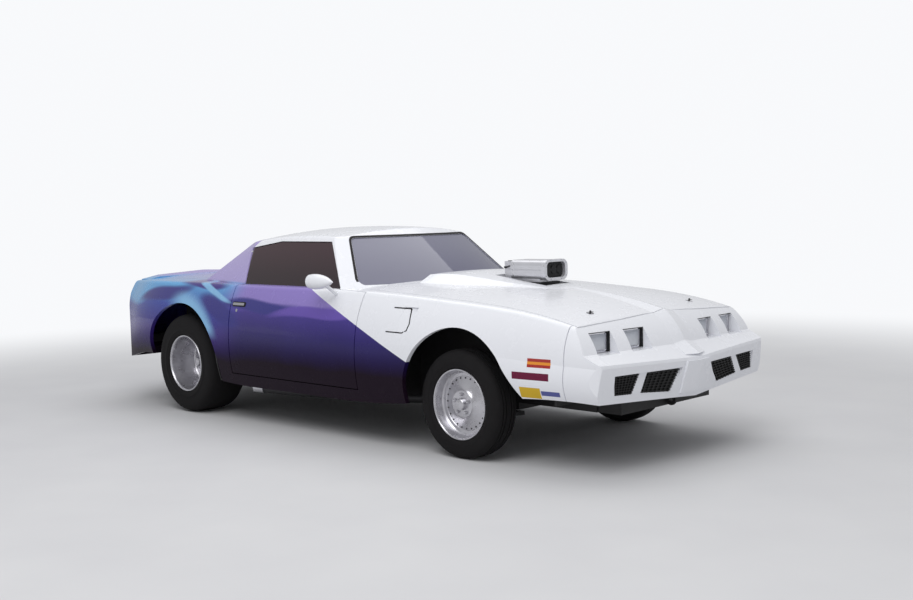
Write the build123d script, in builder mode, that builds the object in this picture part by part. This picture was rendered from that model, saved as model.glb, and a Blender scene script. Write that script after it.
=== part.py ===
from build123d import *
import math
import os

os.makedirs("parts", exist_ok=True)

# All sizes are in millimetres. +X is forward, +Y is the car's left, +Z is up, and the floor is z = 0.

# Overall sizes
LENGTH = 4975
FRONT_OVERHANG = 1090
WHEELBASE = 2746
NOSE_X = LENGTH / 2
TAIL_X = -LENGTH / 2
FRONT_AXLE_X = NOSE_X - FRONT_OVERHANG
REAR_AXLE_X = FRONT_AXLE_X - WHEELBASE
# The wheelbase at which the places behind the doors were measured
MEASURED_WHEELBASE = 2746

# Skin and gaps
SKIN = 30
LID_SKIN = 24
DOOR_SKIN = 75
PANEL_GAP = 6
DOOR_REAR_GAP = 8
GLASS_GAP = 6
SEAT_GAP = 0.3
GROOVE_WIDTH = 5
GROOVE_DEPTH = 9
OPEN_BOTTOM = 300
FAR = 3000

# Body sections, each from its axle: place, sill half width, sill height, keel height, waist half width,
# waist height, shoulder half width, shoulder height, crown height
FRONT_SECTIONS = (
    (1300, 776, 412, 372, 802, 580, 742, 690, 700),
    (900, 806, 406, 378, 824, 592, 770, 772, 806),
    (450, 850, 397, 391, 874, 615, 792, 862, 908),
    (0, 870, 340, 336, 905, 635, 798, 900, 958),
    (-650, 880, 270, 266, 915, 640, 806, 935, 985),
    (-1400, 885, 262, 258, 927, 640, 845, 950, 990),
)
REAR_SECTIONS = (
    (646, 885, 262, 258, 925, 650, 842, 952, 985),
    (-4, 880, 330, 326, 930, 665, 830, 955, 975),
    (-654, 835, 395, 391, 872, 675, 768, 948, 968),
    (-1354, 670, 430, 426, 695, 675, 640, 935, 955),
)
SIDE_BULGE = 19
SHOULDER_ROUND = 40

# Nose and tail seen from the side, from the end of the car: setback, height
NOSE_UNDER = (33, 352)
NOSE_CREASE = (0, 566)
NOSE_LIP = (4, 582)
NOSE_LEDGE = (100, 655)
NOSE_BROW = (160, 756)
NOSE_TOP = (243, 832)
# How much higher the crease is at the reach of the trim than on the centre line
NOSE_CREASE_LIFT = 32
TAIL_UNDER = (120, 400)
TAIL_FACE_LOW = (10, 560)
TAIL_FACE = (0, 650)
TAIL_EDGE = (40, 962)
TRIM_TOP = 1200
TRIM_REACH = 1000
END_SWEEP = 0.09
# How far the centre block stands out of the nose's face
BLOCK_RISE = 12
# Corners of nose and tail in plan: half width, run back to where the trim is clear of the body, its gain
NOSE_CORNER = (806, 350, 104)
NOSE_CORNER_ROUND = 40
TAIL_CORNER = (698, 700, 354)
TAIL_CORNER_ROUND = 185
PLAN_CLEAR = 3
PLAN_WIDE = 1100
PLAN_STEP = 50

# Cabin outline at the belt and at the roof: from the front axle, x and half width low, x and half width high
BELT_Z = 945
ROOF_EDGE_Z = 1250
CABIN_CAP_Z = 1345
SCREEN_CENTRE = (-715, -1115)
SCREEN_CORNER = (-960, 745, -1235, 562)
PILLAR_EDGE = (-1040, 805, -1325, 605)
WINDOW_END = (-2080, 803, -2215, 591)
BACKLIGHT_CORNER = (-2740, 700, -2300, 520)
BACKLIGHT_CENTRE = (-2860, -2345)
# Roof stations from the front axle: place, height on the centre line
ROOF_STATIONS = (
    (-560, 1200),
    (-950, 1285),
    (-1400, 1331),
    (-1700, 1334),
    (-2000, 1322),
    (-2300, 1286),
    (-2600, 1225),
    (-2950, 1130),
)
ROOF_HALF = 700
ROOF_REACH = 1050
ROOF_FOOT_Z = 700
ROOF_DROP = 80
ROOF_ROUND = 38
CABIN_SKIN = 35
CABIN_FOOT_Z = 860
CABIN_FOOT_DROP = 100
# Where the body is open to the cabin, from the front axle
CABIN_HOLE = (-2600, -950)

# Windows
GLASS_FACE = 6
GLASS_THICK = 6
SCREEN_LOW = (712, 968)
SCREEN_HIGH = (536, 1264)
BACKLIGHT_LOW = (640, 985)
BACKLIGHT_HIGH = (490, 1240)
SIDE_WINDOW = ((-1050, 925), (-1050, 957), (-1345, 1243), (-1900, 1246), (-2226, 1200), (-2068, 925))
SIDE_WINDOW_ROUND = 36
SCREEN_TOP_ROUND = 50
SCREEN_FOOT_ROUND = 22
# How far behind the windscreen's top corner and the side window's end the front and rear windows are cut
SCREEN_CUT = 330
BACKLIGHT_CUT = 60
GLASS_SLOT_Z = 905

# Panel lines from the front axle
NOSE_SEAM = 785
BONNET_REAR = -690
BONNET_REAR_CORNER = (-822, 745)
BONNET_SIDE_END = (812, 748)
BONNET_KNEE = (826, 400)
BONNET_TIP = 834
LID_CUT_Z = 585
DOOR_FRONT = -793
DOOR_REAR = -2108
DOOR_LOW_Z = 345
COWL_HALF = 806
DOOR_STEP_Z = 800
DECK_HALF = 600
DECK_LOW_Z = 700
ROCKER_NEAR_Y = 600
LID_FRONT = -3006
LID_REAR = -3815
TAIL_SEAM = -3640
LID_LOW_Z = 885
# Hinge pads of the boot lid: places across, half width, reach, low, high
LID_PAD_YS = (-400, 400)
LID_PAD = (25, 30, 900, 940)

# Wheels
FRONT_TYRE_R = 316
REAR_TYRE_R = 361
RIM_R = 206
BARREL_R = 195
FRONT_FACE_Y = 826
REAR_FACE_Y = 880
FRONT_TYRE_WIDTH = 180
REAR_TYRE_WIDTH = 320
FLANGE_WIDTH = 9
TYRE_PROUD = 10
BARREL_WALL = 6
SPINDLE_R = 32
RUNNING_FIT = 0.05
KINGPIN_Y = 700
LUG_COUNT = 5
LUG_CIRCLE_R = 57
LUG_R = 11
ARCH_FRONT_R = 415
ARCH_FRONT_X = 30
ARCH_FRONT_Z = 350
# Front edge of the front wheel opening: lean at the ground, lean at its knee, the knee's rise, where it meets
# the round part
ARCH_EDGE = (90, 60, 50)
ARCH_MEET_ANGLE = 31.8
ARCH_REAR_R = 480
ARCH_REAR_Z = 327

HUB_R = 75
HUB_FOOT = 20
HUB_FLOOR = 6
CAP_R = 34
CAP_LENGTH = 26
CAP_TAPER = 6
LUG_LENGTH = 18
LUG_SINK = 2
DISC_THICK = 12
DISC_RISE = 10
FRONT_DISC_Y = 752
FRONT_HUB_Y = 796
REAR_DISC_Y = 664
REAR_HUB_Y = 712
DISC_FLAT_R = 143
# Tyre: rise of the bead over the rim, rise of the widest point over the sidewall's middle
BEAD_RISE = 3
SIDEWALL_LIFT = 8
# Tyre side: rise over the rim and draw inward from the widest point, then the same below the tread
SIDEWALL_FOOT = (30, 2)
TYRE_SHOULDER = ((22, 8), (4, 36), (0, 56))
ARM_HALF = 34
ARM_THICK = 24
ARM_SPREAD = 100
ARM_NECK = 70
ARM_TAPER = 6
POST_R = 22
ARM_END_R = 30
PLATE_R = 120
PLATE_THICK = 12
PLATE_CLEAR = 6

# Rear axle: tube, differential, the plates' distance inside the rims, ladder bars and posts under the rails
AXLE_R = 40
DIFFERENTIAL_R = 135
PLATE_INSET = 30
LADDER_HALF = 20
# Ladder bar seen from the side: reach behind and ahead of the axle, rise over and fall under its centre
LADDER_ROOT = (30, 60, 60, 90)
LADDER_END = (2, 62)
AXLE_POST = (26, 10, 30)

# Chassis
SHEET = 12
RAIL_INNER_Y = 370
RAIL_WIDTH = 70
RAIL_LOW_Z = 290
RAIL_HEIGHT = 90
RAIL_FRONT = 860
FIREWALL = -700
BULKHEAD = -2324
FLOOR_Z = 268
TUNNEL_HALF = 130
TUNNEL_Z = 420
APRON_Y = 436
APRON_TOP_Z = 770
SUPPORT_X = 700
SUPPORT_Z = (370, 710)
# Crossmember under the engine: half length, fall under and rise over the rails' lower edge
CROSS = (60, 60, 30)
FRONT_CROSS_LENGTH = 60
BOOT_FLOOR_Z = 500
TUB_Y = 540
TUB_TOP_Z = 815
TUB_HALF = 490
TUB_REACH = 1000
REAR_RAIL_Y = 400
REAR_RAIL_WIDTH = 64
REAR_RAIL_HEIGHT = 60
REAR_CROSS = (60, 780)
BOOT_END = -3700
HINGE_PAD_ZS = (460, 730)
HINGE_PAD_HALF = 22
HINGE_PAD_Y = (800, 845)
BUFFER_HALF = 18
BUFFER_LOW_Z = 680
BUFFER_YS = (-560, 560)

# Engine and injector hat, from the front axle
ENGINE = (-590, 110, 250, 330, 760)
ENGINE_CHAMFER = 90
INTAKE = (-300, 10, 95, 975)
ENGINE_MOUNT = (-300, -220, 320, 372)
HAT = (-228, 36, 100, 990, 1110)
HAT_ROUND = 34
HAT_SEAM = (1050, 5, 4)
HAT_RING = (30, 60, 112, 985, 1114)
HAT_RING_ROUND = 46
HAT_WALL = 12
HAT_MOUTH = 70
HAT_LINKAGE = (-311, 60, 1040, 1100)
BONNET_HOLE = (-336, 84, 124)

# Bonnet bulge from the front axle: place, foot half width, foot height, top half width, top height
BULGE_STATIONS = (
    (-725, 460, 945, 326, 1022),
    (-600, 455, 945, 318, 1028),
    (-450, 440, 940, 296, 1022),
    (-300, 420, 932, 268, 1003),
    (-150, 400, 925, 236, 982),
    (0, 378, 915, 200, 963),
    (110, 350, 905, 170, 950),
    (220, 320, 895, 140, 925),
)
BULGE_CROWN = 10
# Centre beak from the front axle: rear, half width and height of its turning line, slope across and along
BEAK = (84, 95, 870, 9.6, 1.15)
BEAK_LOW_Z = 600
# Centre block of the bumper: half width and height of its upper and lower edges
CENTRE_BLOCK = (114, 567, 150, 392)
CENTRE_BLOCK_DEPTH = 60
# Wing vent seen from the side: front edge, rear edge, low, high, then its depth at the front
WING_VENT = (-298, -439, 722, 862, 20)
WING_VENT_LEAN = 28

# Cabin fittings
TUBE_R = 21
HOOP_X = -1960
HOOP_FOOT_Y = 610
HOOP_TOP_Y = 470
HOOP_TOP_Z = 1212
HOOP_WAIST_Z = 860
CAGE_BEND_R = 130
BAR_FRONT = (-1400, 460, 1205)
BAR_KNEE = (-1110, 660, 930)
# Where the side bars leave the hoop: inward of its top corner and below its top
BAR_JOIN = (25, 10)
DASH = (-1150, 625, 800, 905)
DASH_ROUND = 30
WHEEL_CENTRE = (-1345, 380, 850)
WHEEL_RING_R = 175
WHEEL_GRIP_R = 15
COLUMN_R = 22
COLUMN_RISE = 40
COLUMN_SEAT = 30
SPOKE_COUNT = 3
SPOKE_WIDTH = 34
SEAT_Y = 380
SEAT_HALF = 240
SEAT_SIDE = 45
SEAT_REAR = -1900
# Seat seen from the side, ahead of its rear edge: its foot on the floor, its shell, the well between its sides
SEAT_FOOT = (60, 460)
SEAT_SHELL = ((460, 470), (190, 440), (70, 1010), (0, 1010))
SEAT_WELL = ((461, 410), (461, 1011), (62, 1011), (130, 380))

# Mirrors
MIRROR = (-1140, -922, 962, 1004)
MIRROR_R = 44
# A point on the pod's outline, as shares of its length and radius
MIRROR_BOW = (0.55, 0.92)
STALK_R = 11
STALK_FOOT = (-1035, 835, 915)

# Lamps
LAMP_YS = ((294, 451), (565, 722))
LAMP_Z = (652, 757)
LAMP_ROUND = 10
# Depths behind the nose's swept face
LAMP_FACE = 188
POCKET_BACK = 224
POCKET_WALL = 7
POCKET_MARGIN = 5

# Grille pockets: corners in the nose's face and at the back, as distance from the centre line and height
GRILLE_FRONT = ((700, 545), (140, 538), (232, 398), (700, 414))
GRILLE_BACK = ((697, 543), (144, 535), (236, 402), (697, 418))
GRILLE_OPENINGS = (
    ((690, 541), (490, 538), (556, 434), (690, 440)),
    ((428, 536), (150, 532), (242, 412), (484, 432)),
)
GRILLE_BOX = (126, 712, 386, 556)
# Depths behind the nose's swept face: the pocket's back, the front of the insert's pads, the plate
GRILLE_DEPTH = 20
GRILLE_PAD = 28
GRILLE_PLATE = (72, 82)

# Tail
SPOILER = (-3690, -3812, 582, 14, 44)
# Top of the spoiler seen from behind: half width, height
SPOILER_TOP = ((582, 942), (430, 970), (0, 990))
TAIL_LAMP = (290, 585, 690, 800)
TAIL_LAMP_DEPTH = 22
TAIL_LAMP_CUT = 150
TOW_EYE_R = 12.5
TOW_EYE_OUTER_R = 32
TOW_EYE_THICK = 14
REAR_EYE_Z = 320

SIDES = (("right", -1), ("left", 1))


def from_axle(x):
    """Place on the X axis of a point given from the front axle; what lies behind the doors follows the rear."""
    if x < DOOR_REAR - 1:
        return REAR_AXLE_X + MEASURED_WHEELBASE + x
    return FRONT_AXLE_X + x


def body_volume(inset, drop=0):
    """The body below the belt as a full solid whose skin lies inset inside the outer one."""
    ends = end_trim(inset)
    corners = plan_trim(inset)
    sections = [(FRONT_AXLE_X + row[0],) + row[1:] for row in FRONT_SECTIONS]
    sections += [(REAR_AXLE_X + row[0],) + row[1:] for row in REAR_SECTIONS]
    with BuildPart() as volume:
        for x, sill, sill_z, keel_z, waist, waist_z, top, top_z, crown in sections:
            sill = sill - inset
            waist = waist - inset
            top = top - inset
            top_z = top_z - inset
            crown = crown - inset
            low = sill_z - drop
            under = ((sill + waist) / 2 + SIDE_BULGE, (sill_z + waist_z) / 2)
            over = ((top + waist) / 2 + SIDE_BULGE, (top_z + waist_z) / 2)
            with BuildSketch(Plane.YZ.offset(x)) as section:
                with BuildLine():
                    Polyline((-sill, low), (0, keel_z - drop), (sill, low))
                    if drop:
                        Line((sill, low), (sill, sill_z))
                        Line((-sill, sill_z), (-sill, low))
                    ThreePointArc((sill, sill_z), under, (waist, waist_z))
                    ThreePointArc((waist, waist_z), over, (top, top_z))
                    ThreePointArc((top, top_z), (0, crown), (-top, top_z))
                    ThreePointArc((-top, top_z), (-over[0], over[1]), (-waist, waist_z))
                    ThreePointArc((-waist, waist_z), (-under[0], under[1]), (-sill, sill_z))
                make_face()
                fillet(section.vertices().group_by(Axis.Y)[-1], SHOULDER_ROUND)
        loft()
        add(ends, mode=Mode.INTERSECT)
        add(corners, mode=Mode.INTERSECT)
    return volume.part


def end_trim(inset):
    """The side outline of nose and tail, swept back on both sides of the centre line."""
    floor = -OPEN_BOTTOM
    with BuildPart() as trim:
        for side in (-1, 0, 1):
            back = END_SWEEP * TRIM_REACH * abs(side) + inset
            lift = NOSE_CREASE_LIFT * abs(side)
            nose = NOSE_X - BLOCK_RISE - back
            tail = TAIL_X + back
            under = (nose - NOSE_UNDER[0], NOSE_UNDER[1])
            crease = (nose - NOSE_CREASE[0], NOSE_CREASE[1] + lift)
            lip = (nose - NOSE_LIP[0], NOSE_LIP[1] + lift)
            ledge = (nose - NOSE_LEDGE[0], NOSE_LEDGE[1])
            brow = (nose - NOSE_BROW[0], NOSE_BROW[1])
            top = (nose - NOSE_TOP[0], NOSE_TOP[1])
            with BuildSketch(Plane.XZ.offset(-side * TRIM_REACH)):
                with BuildLine():
                    Polyline((tail + TAIL_UNDER[0], floor), (under[0], floor), under, crease, lip, ledge)
                    ThreePointArc(ledge, brow, top)
                    Polyline(
                        top,
                        (nose - 2 * NOSE_TOP[0], TRIM_TOP),
                        (tail + TAIL_EDGE[0], TRIM_TOP),
                        (tail + TAIL_EDGE[0], TAIL_EDGE[1]),
                        (tail + TAIL_FACE[0], TAIL_FACE[1]),
                        (tail + TAIL_FACE_LOW[0], TAIL_FACE_LOW[1]),
                        (tail + TAIL_UNDER[0], TAIL_UNDER[1]),
                        (tail + TAIL_UNDER[0], floor),
                    )
                make_face()
        loft(ruled=True)
    return trim.part


def plan_trim(inset):
    """The rounded corners of nose and tail seen from above."""
    nose = NOSE_X - BLOCK_RISE + PLAN_CLEAR - inset
    tail = TAIL_X - PLAN_CLEAR + inset
    nose_half, nose_run, nose_gain = NOSE_CORNER
    tail_half, tail_run, tail_gain = TAIL_CORNER
    nose_half = nose_half - inset
    tail_half = tail_half - inset
    left = [
        (nose - END_SWEEP * nose_half, nose_half),
        (nose - nose_run, nose_half + nose_gain),
        (nose - nose_run - PLAN_STEP, PLAN_WIDE),
        (tail + tail_run + PLAN_STEP, PLAN_WIDE),
        (tail + tail_run, tail_half + tail_gain),
        (tail + END_SWEEP * tail_half, tail_half),
    ]
    right = [(x, -y) for x, y in reversed(left)]
    with BuildPart() as trim:
        with BuildSketch(Plane.XY.offset(-OPEN_BOTTOM)) as plan:
            with BuildLine():
                Polyline((nose, 0), *left, (tail, 0), *right, close=True)
            make_face()
            corners = plan.vertices().filter_by(lambda v: abs(abs(v.Y) - nose_half) < 1)
            fillet(corners, NOSE_CORNER_ROUND)
            corners = plan.vertices().filter_by(lambda v: abs(abs(v.Y) - tail_half) < 1)
            fillet(corners, TAIL_CORNER_ROUND)
        extrude(amount=OPEN_BOTTOM + TRIM_TOP + PLAN_STEP)
    return trim.part


def cabin_section(height, inset):
    """Corner points of the cabin outline at a height, right half, front to rear, and the two centre points."""
    share = (height - BELT_Z) / (ROOF_EDGE_Z - BELT_Z)
    corners = []
    rows = (SCREEN_CORNER, PILLAR_EDGE, WINDOW_END, BACKLIGHT_CORNER)
    for (low_x, low_y, high_x, high_y), inward in zip(rows, (-1, -1, 0, 1)):
        x = from_axle(low_x) + (high_x - low_x) * share + inward * inset
        y = low_y + (high_y - low_y) * share - inset
        corners.append((x, y))
    front = from_axle(SCREEN_CENTRE[0]) + (SCREEN_CENTRE[1] - SCREEN_CENTRE[0]) * share - inset
    rear = from_axle(BACKLIGHT_CENTRE[0]) + (BACKLIGHT_CENTRE[1] - BACKLIGHT_CENTRE[0]) * share + inset
    return corners, front, rear


def cabin_volume(inset, foot=CABIN_FOOT_Z):
    """The cabin above the belt as a full solid whose skin lies inset inside the outer one."""
    crown = roof_crown(inset)
    with BuildPart() as volume:
        for height in (foot, CABIN_CAP_Z):
            corners, front, rear = cabin_section(height, inset)
            screen, pillar, window, back = corners
            with BuildSketch(Plane.XY.offset(height)):
                with BuildLine():
                    ThreePointArc((screen[0], -screen[1]), (front, 0), screen)
                    Line(screen, pillar)
                    Line(pillar, window)
                    Line(window, back)
                    ThreePointArc(back, (rear, 0), (back[0], -back[1]))
                    Line((back[0], -back[1]), (window[0], -window[1]))
                    Line((window[0], -window[1]), (pillar[0], -pillar[1]))
                    Line((pillar[0], -pillar[1]), (screen[0], -screen[1]))
                make_face()
        loft(ruled=True)
        add(crown, mode=Mode.INTERSECT)
    return volume.part


def roof_crown(inset):
    """Everything under the crowned roof surface."""
    with BuildPart() as crown:
        for place, height in ROOF_STATIONS:
            top = height - inset
            edge = top - ROOF_DROP
            with BuildSketch(Plane.YZ.offset(from_axle(place))):
                with BuildLine():
                    ThreePointArc((ROOF_HALF, edge), (0, top), (-ROOF_HALF, edge))
                    Polyline(
                        (-ROOF_HALF, edge),
                        (-ROOF_REACH, edge - ROOF_DROP),
                        (-ROOF_REACH, ROOF_FOOT_Z),
                        (ROOF_REACH, ROOF_FOOT_Z),
                        (ROOF_REACH, edge - ROOF_DROP),
                        (ROOF_HALF, edge),
                    )
                make_face()
        loft()
    return crown.part


def block(x_range, y_range, z_range):
    """A plain box given by its lowest and highest places."""
    with BuildPart() as piece:
        with Locations([(sum(x_range) / 2, sum(y_range) / 2, sum(z_range) / 2)]):
            Box(x_range[1] - x_range[0], y_range[1] - y_range[0], z_range[1] - z_range[0])
    return piece.part


def plan_prism(points, z_range):
    """A prism standing on an outline given in plan."""
    with BuildPart() as piece:
        with BuildSketch(Plane.XY.offset(z_range[0])):
            with BuildLine():
                Polyline(*points, close=True)
            make_face()
        extrude(amount=z_range[1] - z_range[0])
    return piece.part


def bonnet_prism(margin):
    """A prism standing on the bonnet's outline in plan, widened by a margin."""
    corner = (from_axle(BONNET_REAR_CORNER[0]) - margin, BONNET_REAR_CORNER[1] + margin)
    rear = (from_axle(BONNET_REAR) - margin, 0)
    end = (from_axle(BONNET_SIDE_END[0]) + margin, BONNET_SIDE_END[1] + margin)
    knee = (from_axle(BONNET_KNEE[0]) + margin, BONNET_KNEE[1])
    tip = (from_axle(BONNET_TIP) + margin, 0)
    with BuildPart() as piece:
        with BuildSketch(Plane.XY.offset(LID_CUT_Z)):
            with BuildLine():
                ThreePointArc((corner[0], -corner[1]), rear, corner)
                Polyline(corner, end, knee, tip)
                Polyline(tip, (knee[0], -knee[1]), (end[0], -end[1]), (corner[0], -corner[1]))
            make_face()
        extrude(amount=TRIM_TOP - LID_CUT_Z)
    return piece.part


def face_plane(side, depth):
    """Plane behind one half of the nose's swept face: X runs outward from the centre line, Y runs up."""
    along = Vector(-END_SWEEP, side, 0)
    plane = Plane(origin=(NOSE_X - BLOCK_RISE, 0, 0), x_dir=along, z_dir=Vector(side, END_SWEEP, 0))
    return plane.offset(-side * depth)


def face_prism(side, points, depths, margin=0):
    """A prism between two depths behind the nose's face on an outline of places on that face."""
    with BuildPart() as piece:
        with BuildSketch(face_plane(side, depths[0])):
            with BuildLine():
                Polyline(*points, close=True)
            make_face()
            if margin:
                offset(amount=-margin, kind=Kind.INTERSECTION)
        extrude(amount=-side * (depths[1] - depths[0]))
    return piece.part


def rectangle(y_range, z_range, margin=0):
    """Corners of an upright rectangle, widened by a margin."""
    near, far = y_range[0] - margin, y_range[1] + margin
    low, high = z_range[0] - margin, z_range[1] + margin
    return ((near, low), (far, low), (far, high), (near, high))


def window_prism(rows, places, margin):
    """A prism along X through a window whose lower and upper corners are given as half width and height."""
    low, high = rows
    with BuildPart() as piece:
        with BuildSketch(Plane.YZ.offset(places[0])) as outline:
            with BuildLine():
                Polyline(
                    (-low[0] + margin, low[1] + margin),
                    (low[0] - margin, low[1] + margin),
                    (high[0] - margin, high[1] - margin),
                    (-high[0] + margin, high[1] - margin),
                    close=True,
                )
            make_face()
            fillet(outline.vertices().group_by(Axis.Y)[-1], SCREEN_TOP_ROUND)
            fillet(outline.vertices().group_by(Axis.Y)[0], SCREEN_FOOT_ROUND)
        extrude(amount=places[1] - places[0])
    return piece.part


def side_window_prism(margin):
    """A prism along Y through both side windows."""
    with BuildPart() as piece:
        with BuildSketch(Plane.XZ.offset(-FAR / 2)) as outline:
            with BuildLine():
                Polyline(*[(from_axle(x), z) for x, z in SIDE_WINDOW], close=True)
            make_face()
            fillet(outline.vertices().filter_by(lambda v: v.Z > BELT_Z), SIDE_WINDOW_ROUND)
            if margin:
                offset(amount=-margin, kind=Kind.INTERSECTION)
        extrude(amount=FAR)
    return piece.part


def arch_prism(y_range):
    """Both wheel openings of one side, as a prism along Y."""
    front = from_axle(ARCH_FRONT_X)
    lean_low, lean_knee, knee_rise = ARCH_EDGE
    meet = Vector(ARCH_FRONT_R, 0).rotate(Axis.Z, ARCH_MEET_ANGLE)
    with BuildPart() as piece:
        with BuildSketch(Plane.XZ.offset(-y_range[1])):
            with Locations([(front, ARCH_FRONT_Z)]):
                Circle(ARCH_FRONT_R)
            with BuildLine():
                Polyline(
                    (front - ARCH_FRONT_R, ARCH_FRONT_Z),
                    (front - ARCH_FRONT_R, 0),
                    (front + ARCH_FRONT_R + lean_low, 0),
                    (front + ARCH_FRONT_R + lean_knee, ARCH_FRONT_Z + knee_rise),
                    (front + meet.X, ARCH_FRONT_Z + meet.Y),
                    close=True,
                )
            make_face()
            with Locations([(REAR_AXLE_X, ARCH_REAR_Z)]):
                Circle(ARCH_REAR_R)
            with Locations([(REAR_AXLE_X, ARCH_REAR_Z / 2)]):
                Rectangle(2 * ARCH_REAR_R, ARCH_REAR_Z)
        extrude(amount=y_range[1] - y_range[0])
    return piece.part


def write(piece, name):
    """Keep a finished piece under its name."""
    piece.label = name
    export_step(piece, f"parts/{name}.step")


def span(side, near, far):
    """The Y range of a piece on one side of the car, from its distances from the centre line."""
    return (near, far) if side > 0 else (-far, -near)


# Solid volumes that the panels are cut from
outer = body_volume(0)
inner = body_volume(SKIN, OPEN_BOTTOM)
door_inner = body_volume(DOOR_SKIN, OPEN_BOTTOM)
lid_inner = body_volume(LID_SKIN, OPEN_BOTTOM)
groove_core = body_volume(GROOVE_DEPTH, OPEN_BOTTOM)
cabin_outer = cabin_volume(0)
cabin_top = cabin_outer.faces().sort_by(Axis.Z)[-1]
cabin_rounded = fillet(cabin_top.edges(), ROOF_ROUND)
cabin_inner = cabin_volume(CABIN_SKIN, CABIN_FOOT_Z - CABIN_FOOT_DROP)
glass_outer = cabin_volume(GLASS_FACE)
glass_inner = cabin_volume(GLASS_FACE + GLASS_THICK)
slot_outer = cabin_volume(GLASS_FACE - SEAT_GAP)
slot_inner = cabin_volume(GLASS_FACE + GLASS_THICK + SEAT_GAP)
hole_x = (from_axle(CABIN_HOLE[0]), from_axle(CABIN_HOLE[1]))
with BuildPart() as cabin_hole:
    add(cabin_inner)
    add(block(hole_x, (-FAR / 2, FAR / 2), (0, TRIM_TOP)), mode=Mode.INTERSECT)
shell = outer - inner - cabin_hole.part
lid_shell = outer - lid_inner
full_y = (-FAR / 2, FAR / 2)
above = (-OPEN_BOTTOM, FAR / 2)
nose_seam = from_axle(NOSE_SEAM)
door_front = from_axle(DOOR_FRONT)
door_rear = from_axle(DOOR_REAR)
wing_end = door_front + PANEL_GAP
quarter_start = door_rear - DOOR_REAR_GAP
cowl_front = from_axle(BONNET_REAR)
lid_front = from_axle(LID_FRONT)
lid_rear = from_axle(LID_REAR)
tail_seam = from_axle(TAIL_SEAM)
firewall_x = from_axle(FIREWALL)
bulkhead_x = from_axle(BULKHEAD)
bonnet_opening = bonnet_prism(PANEL_GAP)
bonnet_blank = bonnet_prism(0)
seam_groove = block((nose_seam - GROOVE_WIDTH / 2, nose_seam + GROOVE_WIDTH / 2), full_y, above) - groove_core

# Wings
for name, side in SIDES:
    side_block = block((wing_end, nose_seam), span(side, 300, FAR / 2), above)
    cowl_cut = block((wing_end - 1, cowl_front), span(side, 0, BONNET_REAR_CORNER[1] - 1), (LID_CUT_Z, TRIM_TOP))
    arches = arch_prism(span(side, 300, FAR / 2))
    vent_front, vent_rear, vent_low, vent_high, vent_depth = WING_VENT
    turning_line = Axis((from_axle(vent_rear), side * BONNET_REAR_CORNER[1], 0), (0, 0, 1))
    vent_turn = math.degrees(math.atan(vent_depth / (vent_front - vent_rear)))
    vent_floor = outer.rotate(turning_line, -side * vent_turn)
    with BuildPart() as vent:
        with BuildSketch(Plane.XZ.offset(-FAR / 2)):
            with BuildLine():
                Polyline(
                    (from_axle(vent_rear), vent_low),
                    (from_axle(vent_front) - WING_VENT_LEAN, vent_low),
                    (from_axle(vent_front), vent_high),
                    (from_axle(vent_rear) + WING_VENT_LEAN, vent_high),
                    close=True,
                )
            make_face()
        extrude(amount=FAR)
        add(block((TAIL_X, NOSE_X), span(side, BONNET_REAR_CORNER[1], FAR / 2), above), mode=Mode.INTERSECT)
        add(vent_floor, mode=Mode.SUBTRACT)
    with BuildPart() as wing:
        add(shell)
        add(side_block, mode=Mode.INTERSECT)
        add(bonnet_opening, mode=Mode.SUBTRACT)
        add(cowl_cut, mode=Mode.SUBTRACT)
        add(arches, mode=Mode.SUBTRACT)
        add(seam_groove, mode=Mode.SUBTRACT)
        add(vent.part, mode=Mode.SUBTRACT)
    write(wing.part, f"wing_{name}")

# Centre beak: the skin turned up on both sides of the centre line, fading out behind
beak_rear, beak_half, beak_z, beak_across, beak_along = BEAK
beak_sides = []
for side in (-1, 1):
    turned = outer.rotate(Axis((0, side * beak_half, beak_z), (1, 0, 0)), -side * beak_across)
    turned = turned.rotate(Axis((from_axle(BONNET_TIP), 0, beak_z), (0, 1, 0)), -beak_along)
    half_block = block((from_axle(beak_rear), NOSE_X - BLOCK_RISE), span(side, 0, beak_half), (BEAK_LOW_Z, TRIM_TOP))
    with BuildPart() as beak_side:
        add(turned)
        add(half_block, mode=Mode.INTERSECT)
        add(inner, mode=Mode.SUBTRACT)
    beak_sides.append(beak_side.part)

# Nose panel with lamp pockets, grille pockets and the bumper's centre block
nose_region = block((nose_seam, NOSE_X + PLAN_CLEAR), full_y, above)
pocket_walls = []
pocket_holes = []
for side in (-1, 1):
    for lamp_y in LAMP_YS:
        wall = rectangle(lamp_y, LAMP_Z, POCKET_MARGIN + POCKET_WALL)
        hole = rectangle(lamp_y, LAMP_Z, POCKET_MARGIN)
        pocket_walls.append(face_prism(side, wall, (0, POCKET_BACK + POCKET_WALL)))
        pocket_holes.append(face_prism(side, hole, (0, POCKET_BACK)))
    box_near, box_far, box_low, box_high = GRILLE_BOX
    pocket_walls.append(face_prism(side, rectangle((box_near, box_far), (box_low, box_high)), (0, GRILLE_PLATE[0])))
    with BuildPart() as grille_pocket:
        with BuildSketch(face_plane(side, -PLAN_CLEAR)):
            with BuildLine():
                Polyline(*GRILLE_FRONT, close=True)
            make_face()
        with BuildSketch(face_plane(side, GRILLE_DEPTH)):
            with BuildLine():
                Polyline(*GRILLE_BACK, close=True)
            make_face()
        loft(ruled=True)
    pocket_holes.append(grille_pocket.part)
    for points in GRILLE_OPENINGS:
        pocket_holes.append(face_prism(side, points, (0, 2 * GRILLE_PLATE[1])))
with BuildPart() as pockets:
    add(pocket_walls)
    add(outer, mode=Mode.INTERSECT)
block_half, block_high, block_low_half, block_low = CENTRE_BLOCK
block_face = end_trim(-BLOCK_RISE)
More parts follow.
